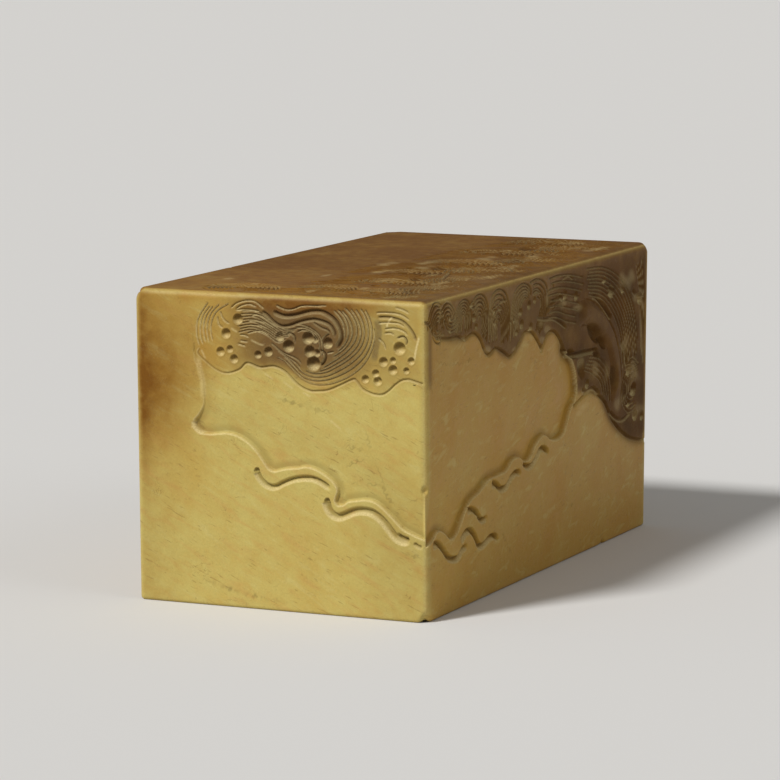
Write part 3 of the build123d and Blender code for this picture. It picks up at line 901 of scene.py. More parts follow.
@dataclass
class FrontFace:
    """The front end: clouds over a sunken ground, and ridges that cross it.

    Lines are drawn points in mm. A ridge has a width too, a channel a width and a depth, and a pit is a place
    and a radius.
    """

    contour: Points = (
        (7.6, 28.9), (7.7, 28), (8.15, 27.25), (8.55, 26.2), (8.7, 24.5), (8.65, 23), (8.0, 21.9), (7.45, 21.2),
        (7.6, 20.4), (8.3, 19.85), (9.2, 19.7), (10.2, 19.8), (11.5, 19.95), (12.6, 19.8),
        (13.6, 19.4), (14.6, 18.7), (15.4, 17.9), (16, 17.1), (16.6, 16.3), (17.3, 15.95), (18, 16.1),
        (19, 16.35), (20.3, 16.5), (21.2, 16.7), (22.2, 16.6), (23.2, 16.2), (24.2, 15.6), (24.95, 14.85),
        (25.15, 14.2), (24.9, 13.5), (24.85, 13), (25.2, 12.6), (25.9, 12.7), (26.5, 13.1), (27.5, 13.3),
        (28.5, 13.45), (29.5, 13.35), (30.3, 12.95), (31.2, 12.2), (32, 11.5), (32.6, 10.9), (33.2, 10.4),
        (34.6, 9.8), (36.4, 9.2),
    )
    ridges: tuple[tuple[Points, float], ...] = (
        (((7.75, 21.1), (7.8, 20.6), (8.25, 20.2), (9.0, 19.98)), 0.9),
        (
            ((15.25, 15.75), (15.6, 15.1), (16.2, 14.5), (16.95, 14.2), (17.7, 14.28), (18.5, 14.7), (19.3, 15.05),
             (20.2, 15.33), (21.5, 15.5), (22.5, 15.38), (23.5, 14.95), (24.4, 14.35)),
            0.72,
        ),
        (
            ((23.85, 12.95), (24.05, 12.2), (24.55, 11.6), (25.3, 11.35), (26.1, 11.6), (27.1, 12.05), (28, 12.25),
             (29, 12.2), (29.9, 11.85), (30.8, 11.15), (31.6, 10.25), (32.3, 9.5), (33.1, 9.15), (34.1, 9.15)),
            0.98,
        ),
    )
    cracks: tuple[Points, ...] = (
        ((28.2, 22.5), (28.9, 20.6), (29.3, 18.8), (30.1, 17.2), (30.6, 15.6), (30.9, 14.3), (31.6, 13.4),
         (32.9, 11.9)),
        ((26.3, 15.3), (27.8, 15.1), (29.4, 15.25), (30.8, 15.2)), ((29.3, 18.8), (28.2, 19.2), (26.4, 19.3)),
        ((17, 24.4), (19.5, 24.0), (22.3, 23.4), (25.5, 23.1)), ((20.2, 24.6), (22, 23.7), (23.5, 22.9)),
        ((8.2, 3.0), (14, 1.6), (19, 1.1)), ((26, 16.9), (27.5, 17.7), (29.2, 18.2)),
        ((33.1, 7.9), (34.2, 7.6), (35.6, 7.5)), ((32.3, 13.9), (33.8, 13.7), (35.2, 14.0)),
    )
    cloud_border: Points = (
        (8.35, 29.65), (8.0, 28.9), (8.9, 28.1), (10.2, 27.2), (11.6, 26.8), (13.2, 27.3), (14.2, 28.1), (15.8, 27.7),
        (17.5, 27.9), (18.9, 27.4), (20, 26.4), (20.85, 25.8), (21.9, 25.4), (23, 25.4), (24.2, 25.6), (25.6, 26.2),
        (27.2, 26.95), (27.7, 26.75), (28.35, 26), (29.15, 25.6), (30.1, 25.4), (30.9, 25.5), (31.65, 26),
        (32.3, 26.6), (33.1, 27.15), (33.95, 27.3), (34.6, 27.15), (36, 26.8),
    )
    channels: tuple[tuple[Points, float, float], ...] = (
        (((17.5, 34.2), (18.05, 33.85), (19, 33.65), (20.2, 33.8), (21.6, 34.2), (22.4, 34.35), (23.45, 34.35),
          (24.5, 33.9), (25.2, 33.3), (25.7, 32.45), (25.85, 31.5), (25.5, 30.8), (25.2, 30.3)), 0.75, 0.4),
        (((16.05, 34.1), (16.8, 33.6), (17.6, 32.9), (18.45, 32.5), (19.5, 32.6), (20.85, 33.1), (22.1, 33.4),
          (22.9, 33.4), (23.95, 33.15), (24.6, 32.75), (25.0, 32.1), (25.0, 31.5)), 0.62, 0.34),
        (((22.3, 33.2), (23.35, 32.6), (24.2, 32.3), (24.6, 31.8)), 0.36, 0.2),
        (((21.35, 32.5), (22.0, 32.55), (22.4, 32.2)), 0.3, 0.16),
        (((30.2, 34.05), (31.75, 34.1), (33.1, 33.8), (33.95, 33.2), (34.6, 32.35), (34.9, 31.5)), 0.5, 0.24),
        (((32.5, 31.8), (33.3, 32.05), (33.75, 31.6), (33.6, 31.0)), 0.4, 0.25),
        (((19, 31.45), (19.5, 31.75), (20.1, 31.4), (20.2, 30.6)), 0.4, 0.28),
        (((24.6, 32), (24.0, 31.7), (23.5, 31.1), (23.7, 30.5)), 0.36, 0.2),
        (((23.1, 30.15), (23.85, 29.55), (23.65, 28.7), (22.9, 28.2)), 0.55, 0.35),
    )
    pits: tuple[tuple[float, float, float], ...] = (
        (13.15, 33.05, 0.58), (11.65, 31.35, 0.55), (10.9, 29.25, 0.5), (12.6, 28.5, 0.48), (12.1, 29.6, 0.4),
        (15.6, 29.15, 0.42), (16.9, 29.55, 0.5), (18.3, 31.3, 0.52), (19.4, 30.3, 0.66), (21.8, 31.35, 0.66),
        (22.65, 31.2, 0.38), (24.2, 30.9, 0.6), (22, 29.85, 0.62), (22.85, 29.7, 0.42), (22.45, 28.5, 0.78),
        (32.9, 30.75, 0.68), (30.95, 29.15, 0.5), (32.1, 29.35, 0.36), (32.1, 28.3, 0.5), (28.75, 27.1, 0.42),
        (30.25, 26.95, 0.48), (30.0, 27.8, 0.42), (34.3, 29.4, 0.4), (33.7, 28.3, 0.35),
    )
    comb_lines: tuple[Points, ...] = (
        ((17.8, 34.9), (18.45, 34.6), (19.3, 34.4), (20.1, 34.55), (21.05, 34.9), (22.7, 35.0), (24.2, 35.1)),
        ((14.7, 33.5), (15.3, 33.65), (16.15, 33.5), (17.3, 32.8), (18.2, 32.3)),
        ((14.3, 32.95), (15.85, 32.95), (16.9, 32.65), (17.8, 32.2)),
        ((14.6, 32.45), (15.8, 32.45), (17.0, 32.15)),
        ((14.2, 31.5), (15.85, 31.85), (17.0, 31.4)),
        ((13.25, 31.3), (14.0, 31.25), (14.6, 31.0)), ((13.25, 30.65), (14.5, 30.5)), ((12.95, 30.3), (14.2, 30.0)),
        ((9.5, 34.75), (8.5, 33.4), (8.05, 32.35), (8.0, 30.8), (8.35, 29.65)),
        ((9.7, 34.4), (8.8, 33.2), (8.45, 31.9), (8.45, 30.8), (8.8, 29.8)),
        ((10.1, 34.4), (9.15, 33.1), (8.85, 31.6), (9.1, 30.05)),
        ((10.9, 34.65), (9.75, 33.4), (9.3, 31.8), (9.5, 30.1)),
        ((12.1, 34.75), (10.4, 33.6), (9.75, 31.9), (9.95, 30.2)),
        ((10.6, 33.3), (10.8, 32.3), (11.4, 31.9)), ((10.9, 33.9), (11.4, 32.9), (12.2, 32.4)),
        ((12.2, 34.2), (13.05, 34.85), (14.3, 35.2), (15.2, 35.15), (15.9, 34.75), (16.5, 34.3)),
        ((12.8, 34.1), (13.6, 34.6), (14.6, 34.8), (15.6, 34.5)),
        ((12.8, 34.05), (14.3, 34.2), (15.95, 34.05)),
        ((24.9, 34.65), (25.6, 34.0), (26.15, 33.1), (26.3, 32.05), (26.1, 31.3)),
        ((25.4, 34.75), (26.2, 34.0), (26.65, 33.0), (26.75, 32.0), (26.5, 31.2), (26.0, 30.5), (25.3, 29.9)),
        ((25.9, 34.7), (26.8, 33.7), (27.2, 32.6), (27.15, 31.7), (26.6, 30.7), (25.7, 29.9), (24.7, 29.3)),
        ((26.25, 35.0), (27.1, 34.2), (27.65, 33.2), (27.75, 32.2), (27.5, 31.2), (26.7, 30.2), (25.6, 29.3),
         (24.5, 28.6), (23.5, 28.0)),
        ((27.0, 34.9), (27.75, 33.9), (28.2, 32.7), (28.2, 31.7), (27.7, 30.6), (26.6, 29.5), (25.2, 28.6),
         (24.0, 27.95), (23.0, 27.6)),
        ((27.6, 34.9), (28.3, 33.8), (28.65, 32.6), (28.55, 31.4), (27.9, 30.2), (26.6, 29.05), (25.2, 28.2),
         (23.9, 27.55), (22.4, 27.35), (21.3, 27.7)),
        ((28.2, 35.0), (28.85, 33.9), (29.15, 32.6), (29.0, 31.2), (28.2, 29.8), (26.9, 28.65), (25.4, 27.75),
         (23.9, 27.1), (22.3, 26.95), (20.95, 27.4), (20.3, 28.1)),
        ((28.75, 34.9), (29.35, 33.7), (29.6, 32.4), (29.4, 31.0), (28.6, 29.5), (27.2, 28.2), (25.6, 27.3),
         (24.0, 26.7), (22.4, 26.55), (21.0, 26.95), (19.9, 27.9), (18.9, 28.8)),
        ((29.85, 32.9), (29.9, 31.5), (29.4, 30.0), (28.5, 28.6), (27.2, 27.5), (25.7, 26.7), (24.2, 26.2),
         (22.6, 26.1), (21.2, 26.5), (20.0, 27.4), (18.8, 28.5), (17.8, 29.0)),
        ((32.3, 35.3), (33.45, 35.0), (34.15, 34.6)), ((30, 34.55), (31.45, 34.65), (33, 34.5), (34.2, 33.9)),
        ((30.3, 33.45), (31.45, 33.55), (32.8, 33.5), (33.65, 33.1)),
        ((31.05, 32.8), (32.3, 32.95), (33.45, 32.65), (33.95, 32.1)), ((30.95, 32.3), (31.8, 32.4), (32.4, 32.1)),
        ((24, 29.75), (25.1, 30.0)), ((30.3, 31.8), (31.0, 31.2), (31.3, 30.4)),
    )
    combs: tuple[Comb, ...] = (
        Comb(((13.3, 33.95), (15.5, 34.0), (17.2, 33.1), (18.9, 32.2), (20.6, 32.3)),
             ((13.0, 31.5), (14.8, 31.9), (16.6, 31.5), (18.0, 30.7), (18.9, 30.9)), 8),
        Comb(((19.8, 32.9), (21.4, 32.7), (23, 31.9), (23.6, 30.6), (23.4, 29.2)),
             ((20.4, 31.9), (21.2, 32.2), (22.4, 31.9), (22.9, 30.9), (22.8, 30.3)), 3),
        Comb(((17.2, 30.6), (18.6, 29.6), (20.4, 28.9), (21.2, 28.0)),
             ((18.6, 29.2), (19.4, 28.8), (20.0, 28.2), (20.6, 27.6)), 3),
    )
    scratches: tuple[Points, ...] = (
        ((32.0, 34.2), (31.5, 33.5), (31.35, 32.9)), ((35.35, 32.3), (35.1, 31.6), (34.8, 30.4), (34.6, 29.2)),
        ((12.2, 32.0), (13.1, 31.5)), ((14.6, 30.8), (15.9, 30.3), (16.5, 30.3)), ((16.3, 27.1), (17.5, 26.4)),
        ((18.6, 26.3), (19.9, 25.5)), ((21, 25.2), (22.1, 24.7)),
        ((8.4, 29.4), (9.0, 28.2)), ((24.3, 22.3), (25.8, 21.2)),
    )
    bright_scratches: int = 2
    line_width: float = 0.27
    line_depth: float = 0.2
    comb_width: float = 0.25
    comb_depth: float = 0.18
    ridge_depth: float = 0.5
    pit_share: float = 0.75

    def work(self, skin: Skin, depth: np.ndarray) -> None:
        """Carves the face.

        Args:
            skin: the face's grid.
            depth: how deep the solids lie behind each cell, in mm; not used on this face.
        """
        skin.step(self.contour, 0.46, 5.5, (20.4, 23.5), 0.3)
        for crack in self.cracks:
            skin.crack(crack, 0.17, 0.42)
        for number, scratch in enumerate(self.scratches):
            skin.rub(scratch, 0.3, 0.9 if number < self.bright_scratches else 0.45)
        skin.rub(((30.0, 34.2), (30.4, 32.5), (30.0, 30.5), (29.7, 28.6)), 1.3, 0.8, "ash")
        # Painted highlight along the soft ridge at the upper left.
        skin.rub(((7.9, 28.8), (8.2, 27.2), (8.6, 25.6), (8.6, 23.4)), 0.9, 0.35)
        for ridge, width in self.ridges:
            skin.carve(ridge, width, self.ridge_depth, Blade.BEVEL, (0.1, 0.7), 0.55, 0.8, 1.15)
        skin.pit(23.95, 13.05, 0.34, 0.35, 0.9, 0.0)
        skin.pit(15.3, 15.95, 0.34, 0.35, 0.9, 0.0)
        skin.carve(((32.2, 9.9), (33.0, 9.45), (34.0, 9.2)), 0.85, 0.55, Blade.BEVEL, (0.5, 0.4), 0.8, 0.4)
        skin.carve(((34.4, 9.0), (34.9, 8.7), (35.5, 8.5)), 0.5, 0.3, Blade.BEVEL, (0.2, 0.3), 0.6, 0.4)
        skin.carve(self.cloud_border, 0.34, 0.2, Blade.BEVEL, (0.4, 0.4), 0.5, 0.35)
        for channel, width, deep in self.channels:
            skin.carve(channel, 0.8 * width, deep, Blade.BEVEL, (0.4, 0.5), 1.0, 0.3)
        for comb in self.combs:
            for line in comb.lines():
                skin.carve(line, self.comb_width, self.comb_depth, Blade.KNIFE, (0.3, 0.4), 1.0, 0.4)
        for line in self.comb_lines:
            in_main_cloud = 13.5 < line[0][0] < 29.7
            patina, worn = (1.0, 0.6) if in_main_cloud else (0.5, 0.7)
            skin.carve(line, self.line_width, self.line_depth, Blade.KNIFE, (0.3, 0.4), patina, worn)
        for u, v, radius in self.pits:
            skin.pit(u, v, radius, self.pit_share * radius)


@dataclass
class CloudFace:
    """A face with clouds or rocks above, and a lower line of hills.

    Lines are drawn points in mm. A gouge has a width too, a channel a width and a depth, and a band a width and
    a rise. A pit is a place and a radius, a hollow a place, two reaches and a depth, and a sheen patch, a pale
    patch painted as a highlight on a raised part, a place and two reaches.
    """

    contour: Points = ()
    gouges: tuple[tuple[Points, float], ...] = ()
    channels: tuple[tuple[Points, float, float], ...] = ()
    bands: tuple[tuple[Points, float, float], ...] = ()
    hollows: tuple[tuple[float, float, float, float, float], ...] = ()
    fans: tuple[Fan, ...] = ()
    combs: tuple[Comb, ...] = ()
    borders: tuple[Points, ...] = ()
    pits: tuple[tuple[float, float, float], ...] = ()
    sheen_patches: tuple[tuple[float, float, float, float], ...] = ()
    cracks: tuple[Points, ...] = ()
    follows_solids: bool = False
    # How bright the painted highlight on the lower wall of each line and channel is.
    line_highlight: float = 0.3
    sheen_strength: float = 0.26
    line_width: float = 0.34
    line_depth: float = 0.24
    gouge_depth: float = 0.66
    pit_share: float = 0.6

    def work(self, skin: Skin, depth: np.ndarray) -> None:
        """Carves the face.

        Args:
            skin: the face's grid.
            depth: how deep the solids lie behind each cell, in mm.
        """
        if self.follows_solids:
            points = at_points(depth)
            soft = skin.blurred(points, 0.16)
            skin.cut = np.maximum(skin.cut, soft)
            # Darkens where the surface is cut deeper than round about: grime and painted shade together.
            dirt_and_shade = eased(soft - skin.blurred(points, 0.8), 0.03, 0.3) * 0.8
            skin.tint("patina", WHOLE, dirt_and_shade)
        if self.contour:
            skin.step(self.contour, 0.6, 6.0)
        for border in self.borders:
            skin.carve(border, 0.55, 0.34, Blade.BEVEL, (0.3, 0.4), 0.7, 0.2)
        for gouge, width in self.gouges:
            skin.carve(gouge, width, self.gouge_depth, Blade.BEVEL, (0.1, 0.6), 0.8, 0.75, 1.2)
        for band, width, rise in self.bands:
            area, near, _, share = skin.beside(band, width)
            fade = eased(share, 0, 0.1) * (1 - eased(share, 0.85, 1))
            skin.height[area] += (1 - eased(near, 0.3 * width, width)) * rise * fade
            skin.height[area] -= 0.5 * rise * fade * np.exp(-(((near - 0.95 * width) / (0.3 * width)) ** 2))
        for channel, width, deep in self.channels:
            skin.carve(channel, width, deep, Blade.BEVEL, (0.3, 0.5), 1.0, self.line_highlight)
        for group in self.fans + self.combs:
            for line in group.lines():
                skin.carve(line, self.line_width, self.line_depth, Blade.KNIFE, (0.3, 0.4), 1.0, self.line_highlight)
        for u, v, wide, tall, deep in self.hollows:
            area, place = skin.patch(u, v, wide, tall, 0.4)
            bowl = 1 - eased(place, 0.35, 0.95)
            skin.cut[area] = np.maximum(skin.cut[area], bowl * deep)
            # Darkens the hollow most in its middle: grime and painted shade together.
            skin.tint("patina", area, bowl)
        for u, v, radius in self.pits:
            skin.pit(u, v, radius, self.pit_share * radius)
        # Painted highlights: soft pale patches that stand in for sheen on raised parts.
        for u, v, wide, tall in self.sheen_patches:
            area, place = skin.patch(u, v, wide, tall)
            uneven = 0.3 * np.sin(skin.u[area] * 1.7 + skin.v[area] * 0.9 + u) * np.sin(skin.v[area] * 1.3 - u)
            skin.tint("worn", area, (1 - eased(place + uneven, 0.1, 0.85)) * self.sheen_strength)
        for crack in self.cracks:
            skin.crack(crack, 0.12, 0.5)


RIGHT_FACE = CloudFace(
    line_highlight=0.35,
    contour=(
        (-0.6, 8.4), (1.8, 9.1), (3.4, 9.9), (5.2, 9.4), (7, 8.4), (8.7, 8.7), (10.2, 9.9), (11.7, 11.2), (13.2, 12),
        (15.5, 12.5), (18.4, 13.5), (21, 13.6), (23.8, 13.8), (25.6, 14.7), (27.6, 14.8), (29.6, 14), (31.4, 14.3),
        (33.2, 15.6), (35.6, 16.3), (37.8, 15.5), (40, 15.2), (42, 15.6), (43, 16.6), (44.3, 18.3), (45.6, 19),
        (46.2, 20.2), (45.8, 22.2), (44.6, 24), (42.6, 25.4),
    ),
    gouges=(
        (((1.9, 8.5), (3.3, 8.5), (4.8, 7.6), (6.2, 6.5), (7.8, 6), (9.2, 6), (10.4, 6.7), (11.9, 6.9)), 0.85),
        (((10, 7.8), (11.4, 8.5), (12.8, 8.5), (14, 7.7), (15.2, 6.4), (16.6, 6.2), (18.4, 6.7), (20, 6.7),
          (21.1, 6.1)), 0.85),
        (((11.9, 10.9), (13.3, 10.8), (14.6, 10.3), (15.5, 9.5), (16.6, 9.1), (17.8, 9.3)), 0.8),
        (((19.2, 12.9), (20.6, 12.6), (22, 11.9), (23.6, 11.9), (25, 12.7), (26.6, 13.1), (28.2, 12.9)), 0.85),
        (((28.9, 14.1), (30, 13.4), (31.4, 13.2), (32.8, 13.8), (34.2, 14.7), (35.6, 14.7), (37, 14)), 0.85),
    ),
    bands=(
        (((46.5, 29.4), (48.5, 29.6), (50.6, 29.2), (52.8, 28.4), (55.4, 27), (57.6, 25.2), (59.2, 22.6), (60, 19.4),
          (59.4, 16.4)), 1.6, 0.35),
        (((36, 31), (38, 31.6), (39.6, 32), (41.5, 31.6)), 0.5, 0.2),
    ),
    channels=(
        (((51.0, 31.3), (52.6, 30.9), (54.4, 30.0), (56.2, 28.9), (57.8, 27.8)), 0.8, 0.5),
        (((33, 30.6), (35.5, 30.2), (38, 30.0), (40, 29.4), (42.5, 28.4)), 0.6, 0.3),
        (((42.8, 25.1), (44.6, 24.8), (47, 24.7), (50, 24.6), (53, 24.4)), 0.8, 0.55),
        (((13.2, 33.9), (14.2, 33.9), (15.4, 34.3), (16.6, 34.0), (17.3, 33.1)), 0.45, 0.25),
        (((21.2, 33.6), (22.4, 33.8), (23.8, 33.7)), 0.5, 0.25),
        (((31.6, 33.5), (33, 33.8), (34.4, 33.4)), 0.5, 0.25),
        (((41.2, 34.3), (43, 34.6), (44.8, 34.0)), 0.5, 0.25),
        (((47.8, 20.2), (49.4, 19.7), (51.6, 19.9), (54, 18.9)), 0.7, 0.35),
        (((36.4, 33.8), (36.8, 32.2), (36.6, 31.2)), 0.5, 0.22), (((38.2, 34.4), (38.1, 33.2)), 0.45, 0.22),
        (((61, 24.5), (62.8, 23.0), (63.6, 20.8)), 0.7, 0.3), (((65, 30.5), (67, 29.6), (69.5, 29.5)), 0.7, 0.3),
        (((57.6, 16.2), (60, 15.0), (62.4, 14.6), (65, 15.2)), 0.6, 0.3),
    ),
    hollows=((52.0, 26.6, 2.9, 1.3, 0.9), (44.4, 25.0, 1.9, 0.65, 0.7), (54.6, 25.2, 1.6, 0.9, 0.8),
             (52.6, 24.0, 1.6, 0.6, 0.5), (47.5, 22.8, 1.6, 1.5, 0.45), (58.6, 20.5, 1.2, 2.2, 0.4)),
    borders=(
        ((-0.6, 33.8), (1.2, 33.4), (2.4, 32.2), (4, 31.6), (6.5, 31.2), (9.1, 31.1), (11.2, 30.6), (13.5, 31),
         (15.4, 30.3), (16.8, 28.8), (18.3, 28), (20.3, 28.5), (22.6, 27.8), (24.8, 27), (26.8, 27.9), (29.1, 29.3),
         (31.5, 29), (33.3, 27.8), (34.6, 26.8), (36.4, 28.3), (38.6, 28.3), (40.6, 27), (42.3, 25.1)),
        ((45, 18.4), (48.3, 19.3), (50.5, 19.6), (53, 18.9), (55.5, 17.8), (58, 15.5), (60.5, 13.8), (64, 12.2),
         (68, 11.2), (71.4, 10.8)),
    ),
    combs=(
        Comb(((8.2, 31.3), (8.4, 33.2), (9.4, 34.6), (11, 35.1), (12.4, 34.7), (13, 33.4), (12.9, 31.4)),
             ((10.2, 31.4), (10.3, 32.6), (10.6, 33.3), (11, 33.5), (11.3, 33.2), (11.3, 32.4), (11.2, 31.2)), 6),
        Comb(((12.9, 33.6), (14, 34.9), (16, 35.2), (17.6, 34.2), (18, 32.2), (17.4, 29.4)),
             ((14.9, 32.2), (15.3, 32.8), (15.9, 32.8), (16.2, 32.2), (16.1, 31.2), (15.8, 30.4)), 6),
        Comb(((18.3, 29.2), (18.2, 32), (19, 34.4), (21, 35.2), (23.2, 34.6), (24.4, 32.4), (24.2, 28.8)),
             ((20.6, 29.3), (20.5, 30.4), (20.7, 31.4), (21.2, 31.8), (21.7, 31.4), (21.9, 30.4), (21.8, 28.6)), 7),
        Comb(((24.8, 28.6), (24.9, 31.5), (26, 34.2), (28.4, 35.1), (30.6, 34.6), (31.4, 33.4)),
             ((27.2, 29.4), (27, 30.6), (27.3, 31.6), (28.2, 32.8), (29.4, 33.4), (30.2, 33.0)), 6),
        Comb(((30.6, 34.9), (33, 35.2), (35.6, 34.4), (36.4, 32.4), (35.4, 30.2), (34, 28.4)),
             ((32.6, 32.9), (33.6, 33.0), (34.2, 32.2), (33.8, 31), (33, 29.8), (32.6, 28.9)), 5),
        Comb(((36.8, 34.8), (40, 34.9), (44, 34.6), (48.6, 33.8)),
             ((36.6, 30.2), (39.6, 30.0), (42.6, 29.2), (45.8, 28.6)), 8),
        Comb(((49, 34.8), (55, 34.4), (61, 32.4), (65.4, 28.4), (67.6, 22.4)),
             ((49.6, 31.6), (54.6, 30.6), (58.6, 28.2), (61.2, 25.0), (62.2, 20.8)), 9),
        Comb(((68.4, 34.2), (69.6, 28.0), (69.8, 20.0)), ((66.4, 33.8), (68.0, 29.0), (68.4, 22.0)), 4),
        Comb(((50.0, 24.0), (54.2, 23.2), (57.4, 20.8), (58.2, 17.0)),
             ((48.4, 22.6), (51.4, 21.8), (54.2, 20.4), (55.2, 18.6)), 5),
    ),
    fans=(
        Fan((3.6, 32.9), 0.5, 1.9, 20, 330), Fan((3.2, 33.2), 2.0, 2.6, 60, 190), Fan((6.4, 33.2), 0.7, 2.0, -20, 210),
        Fan((7.9, 34.4), 1.2, 2.6, 200, 320), Fan((65.3, 18.4), 1.0, 3.2, 40, 300, 0.6),
    ),
    pits=(
        (7.1, 33.5, 0.42), (13.3, 34.3, 0.45), (13.8, 32.8, 0.55), (14.4, 31.7, 0.4), (7.0, 32.15, 0.42),
        (19.9, 32.9, 0.5), (21.6, 32.95, 0.42), (20, 31.5, 0.48), (27.8, 31.9, 0.5), (30.4, 32.4, 0.55),
        (32.2, 32.8, 0.45), (28.1, 30.4, 0.6), (26.5, 29.7, 0.45), (31.0, 29.8, 0.5), (34.4, 26.8, 0.5),
        (42, 32.3, 0.6), (40.4, 32.2, 0.5), (45.5, 31.9, 0.6), (64, 20.7, 0.9), (65.8, 18, 0.9), (49.5, 20.7, 0.6),
        (57.6, 31.2, 0.9), (67.6, 29.3, 0.8), (11.2, 30.7, 0.35), (24.9, 31, 0.3), (25.9, 31.1, 0.35),
        (55.2, 32.8, 0.5), (61.5, 31.0, 0.6), (66.5, 14.6, 0.7), (69, 14.2, 0.6), (64.2, 16.4, 0.5),
    ),
    sheen_patches=(
        (48.5, 18.0, 3.0, 0.7), (46.5, 17.4, 2.2, 0.6), (34, 29.7, 1.6, 0.9), (36.5, 28.8, 2.4, 0.7),
        (35.0, 27.9, 1.4, 0.7), (36.5, 32.8, 1.0, 1.6), (52.5, 22, 2.2, 1.5), (56.5, 21.0, 1.5, 2.0),
        (48, 23.6, 1.6, 1.2), (63, 32, 5.0, 1.6), (67, 29.5, 3.0, 0.8), (66, 20, 3.4, 2.4), (67.5, 15, 3.0, 1.4),
        (29, 33.8, 2.0, 0.8), (18.8, 33.6, 0.5, 1.6), (26, 27.7, 2.0, 0.4), (62.8, 24, 2.4, 1.4), (61, 17, 2.5, 1.6),
        (42, 31.4, 3.4, 0.8), (11.2, 30.6, 1.2, 0.35), (18.0, 28.6, 1.8, 0.7), (46, 30.4, 2.5, 0.7),
    ),
    cracks=(
        ((2, 29.5), (5, 28.6), (8, 28.2), (11, 28.0), (15, 28.4)), ((3, 26.6), (5, 26.2), (7, 25.6)),
        ((31, 26.6), (31.6, 25.6), (33.4, 25.4)), ((36, 27.5), (36.4, 25), (36, 22), (35.4, 19.5)),
        ((10.6, 30.2), (11.4, 29.2), (10.2, 27.8)), ((39, 9), (42, 7), (46, 6.4)), ((22, 7), (25, 4), (27, 2)),
    ),
)

BACK_FACE = CloudFace(
    contour=(
        (-0.5, 9.0), (1.1, 9.2), (6, 10.5), (9.6, 10.2), (11.8, 9.9), (14.2, 10.9), (17.8, 12.9), (21.2, 12.9),
        (23.4, 12.6), (25.8, 13.1), (30.4, 14.3), (34.8, 11.9), (36.5, 11.0),
    ),
    fans=(
        Fan((21, 31.5), 1.0, 4.4, -40, 210, 0.5), Fan((29.5, 31), 1.0, 3.8, -30, 200, 0.5),
        Fan((15.5, 30.5), 0.8, 3.0, 60, 280, 0.5), Fan((5.5, 28), 1.4, 5.2, -60, 100, 0.6),
        Fan((2.0, 19), 1.6, 4.2, -50, 90, 0.6),
    ),
    pits=(
        (20.2, 30.6, 0.55), (22.0, 31.6, 0.5), (21.4, 29.8, 0.42), (29.0, 30.4, 0.55), (30.3, 31.4, 0.45),
        (15.4, 30.6, 0.5), (16.4, 29.4, 0.4), (4.0, 24.5, 0.7), (6.5, 27.5, 0.8), (2.8, 19.2, 0.6), (7.4, 31.5, 0.6),
    ),
    hollows=((6.2, 23.8, 1.4, 0.9, 0.5), (2.6, 15.6, 1.0, 0.8, 0.4)),
    sheen_patches=((4, 21, 2.5, 1.0), (8, 29, 2.5, 0.8), (18, 27.2, 3.0, 0.4), (28, 27.2, 3.0, 0.4)),
    cracks=(((12, 24), (16, 21.5), (21, 20.8)), ((25, 8), (28, 5.5), (33, 4.6)), ((5, 7), (8, 4), (12, 3.2))),
    follows_solids=True,
)

LEFT_FACE = CloudFace(
    contour=(
        (-0.5, 10.9), (1.4, 10.6), (7, 10.1), (11.6, 11.2), (16, 13.3), (21.2, 13.8), (25, 13.2), (29, 14.4),
        (33.6, 16.2), (38.6, 15.8), (44.4, 16.8), (48.6, 19.8), (51.8, 23.6), (54.4, 27.6), (54.6, 32), (54.2, 36.4),
    ),
    fans=(
        Fan((6, 32), 1.0, 3.8, -20, 200, 0.5), Fan((13.5, 32.4), 1.0, 3.2, -40, 190, 0.5),
        Fan((22, 31.5), 1.0, 4.0, -30, 210, 0.5), Fan((29.5, 32.6), 0.8, 2.8, -60, 180, 0.5),
    ),
    pits=(
        (5.4, 31.4, 0.5), (6.8, 32.4, 0.42), (13.0, 31.6, 0.5), (21.2, 31.0, 0.55), (22.8, 32.0, 0.45),
        (22.0, 29.8, 0.42), (29.2, 32.2, 0.5), (35.0, 32.6, 0.45), (16.6, 30.8, 0.4),
    ),
    sheen_patches=((12, 27.6, 3.0, 0.4), (30, 29.4, 3.0, 0.4)),
    cracks=(((30, 24), (36, 21.6), (42, 21)), ((58, 20), (62, 14), (64, 8)), ((10, 6), (16, 4.2), (24, 3.8))),
    follows_solids=True,
)

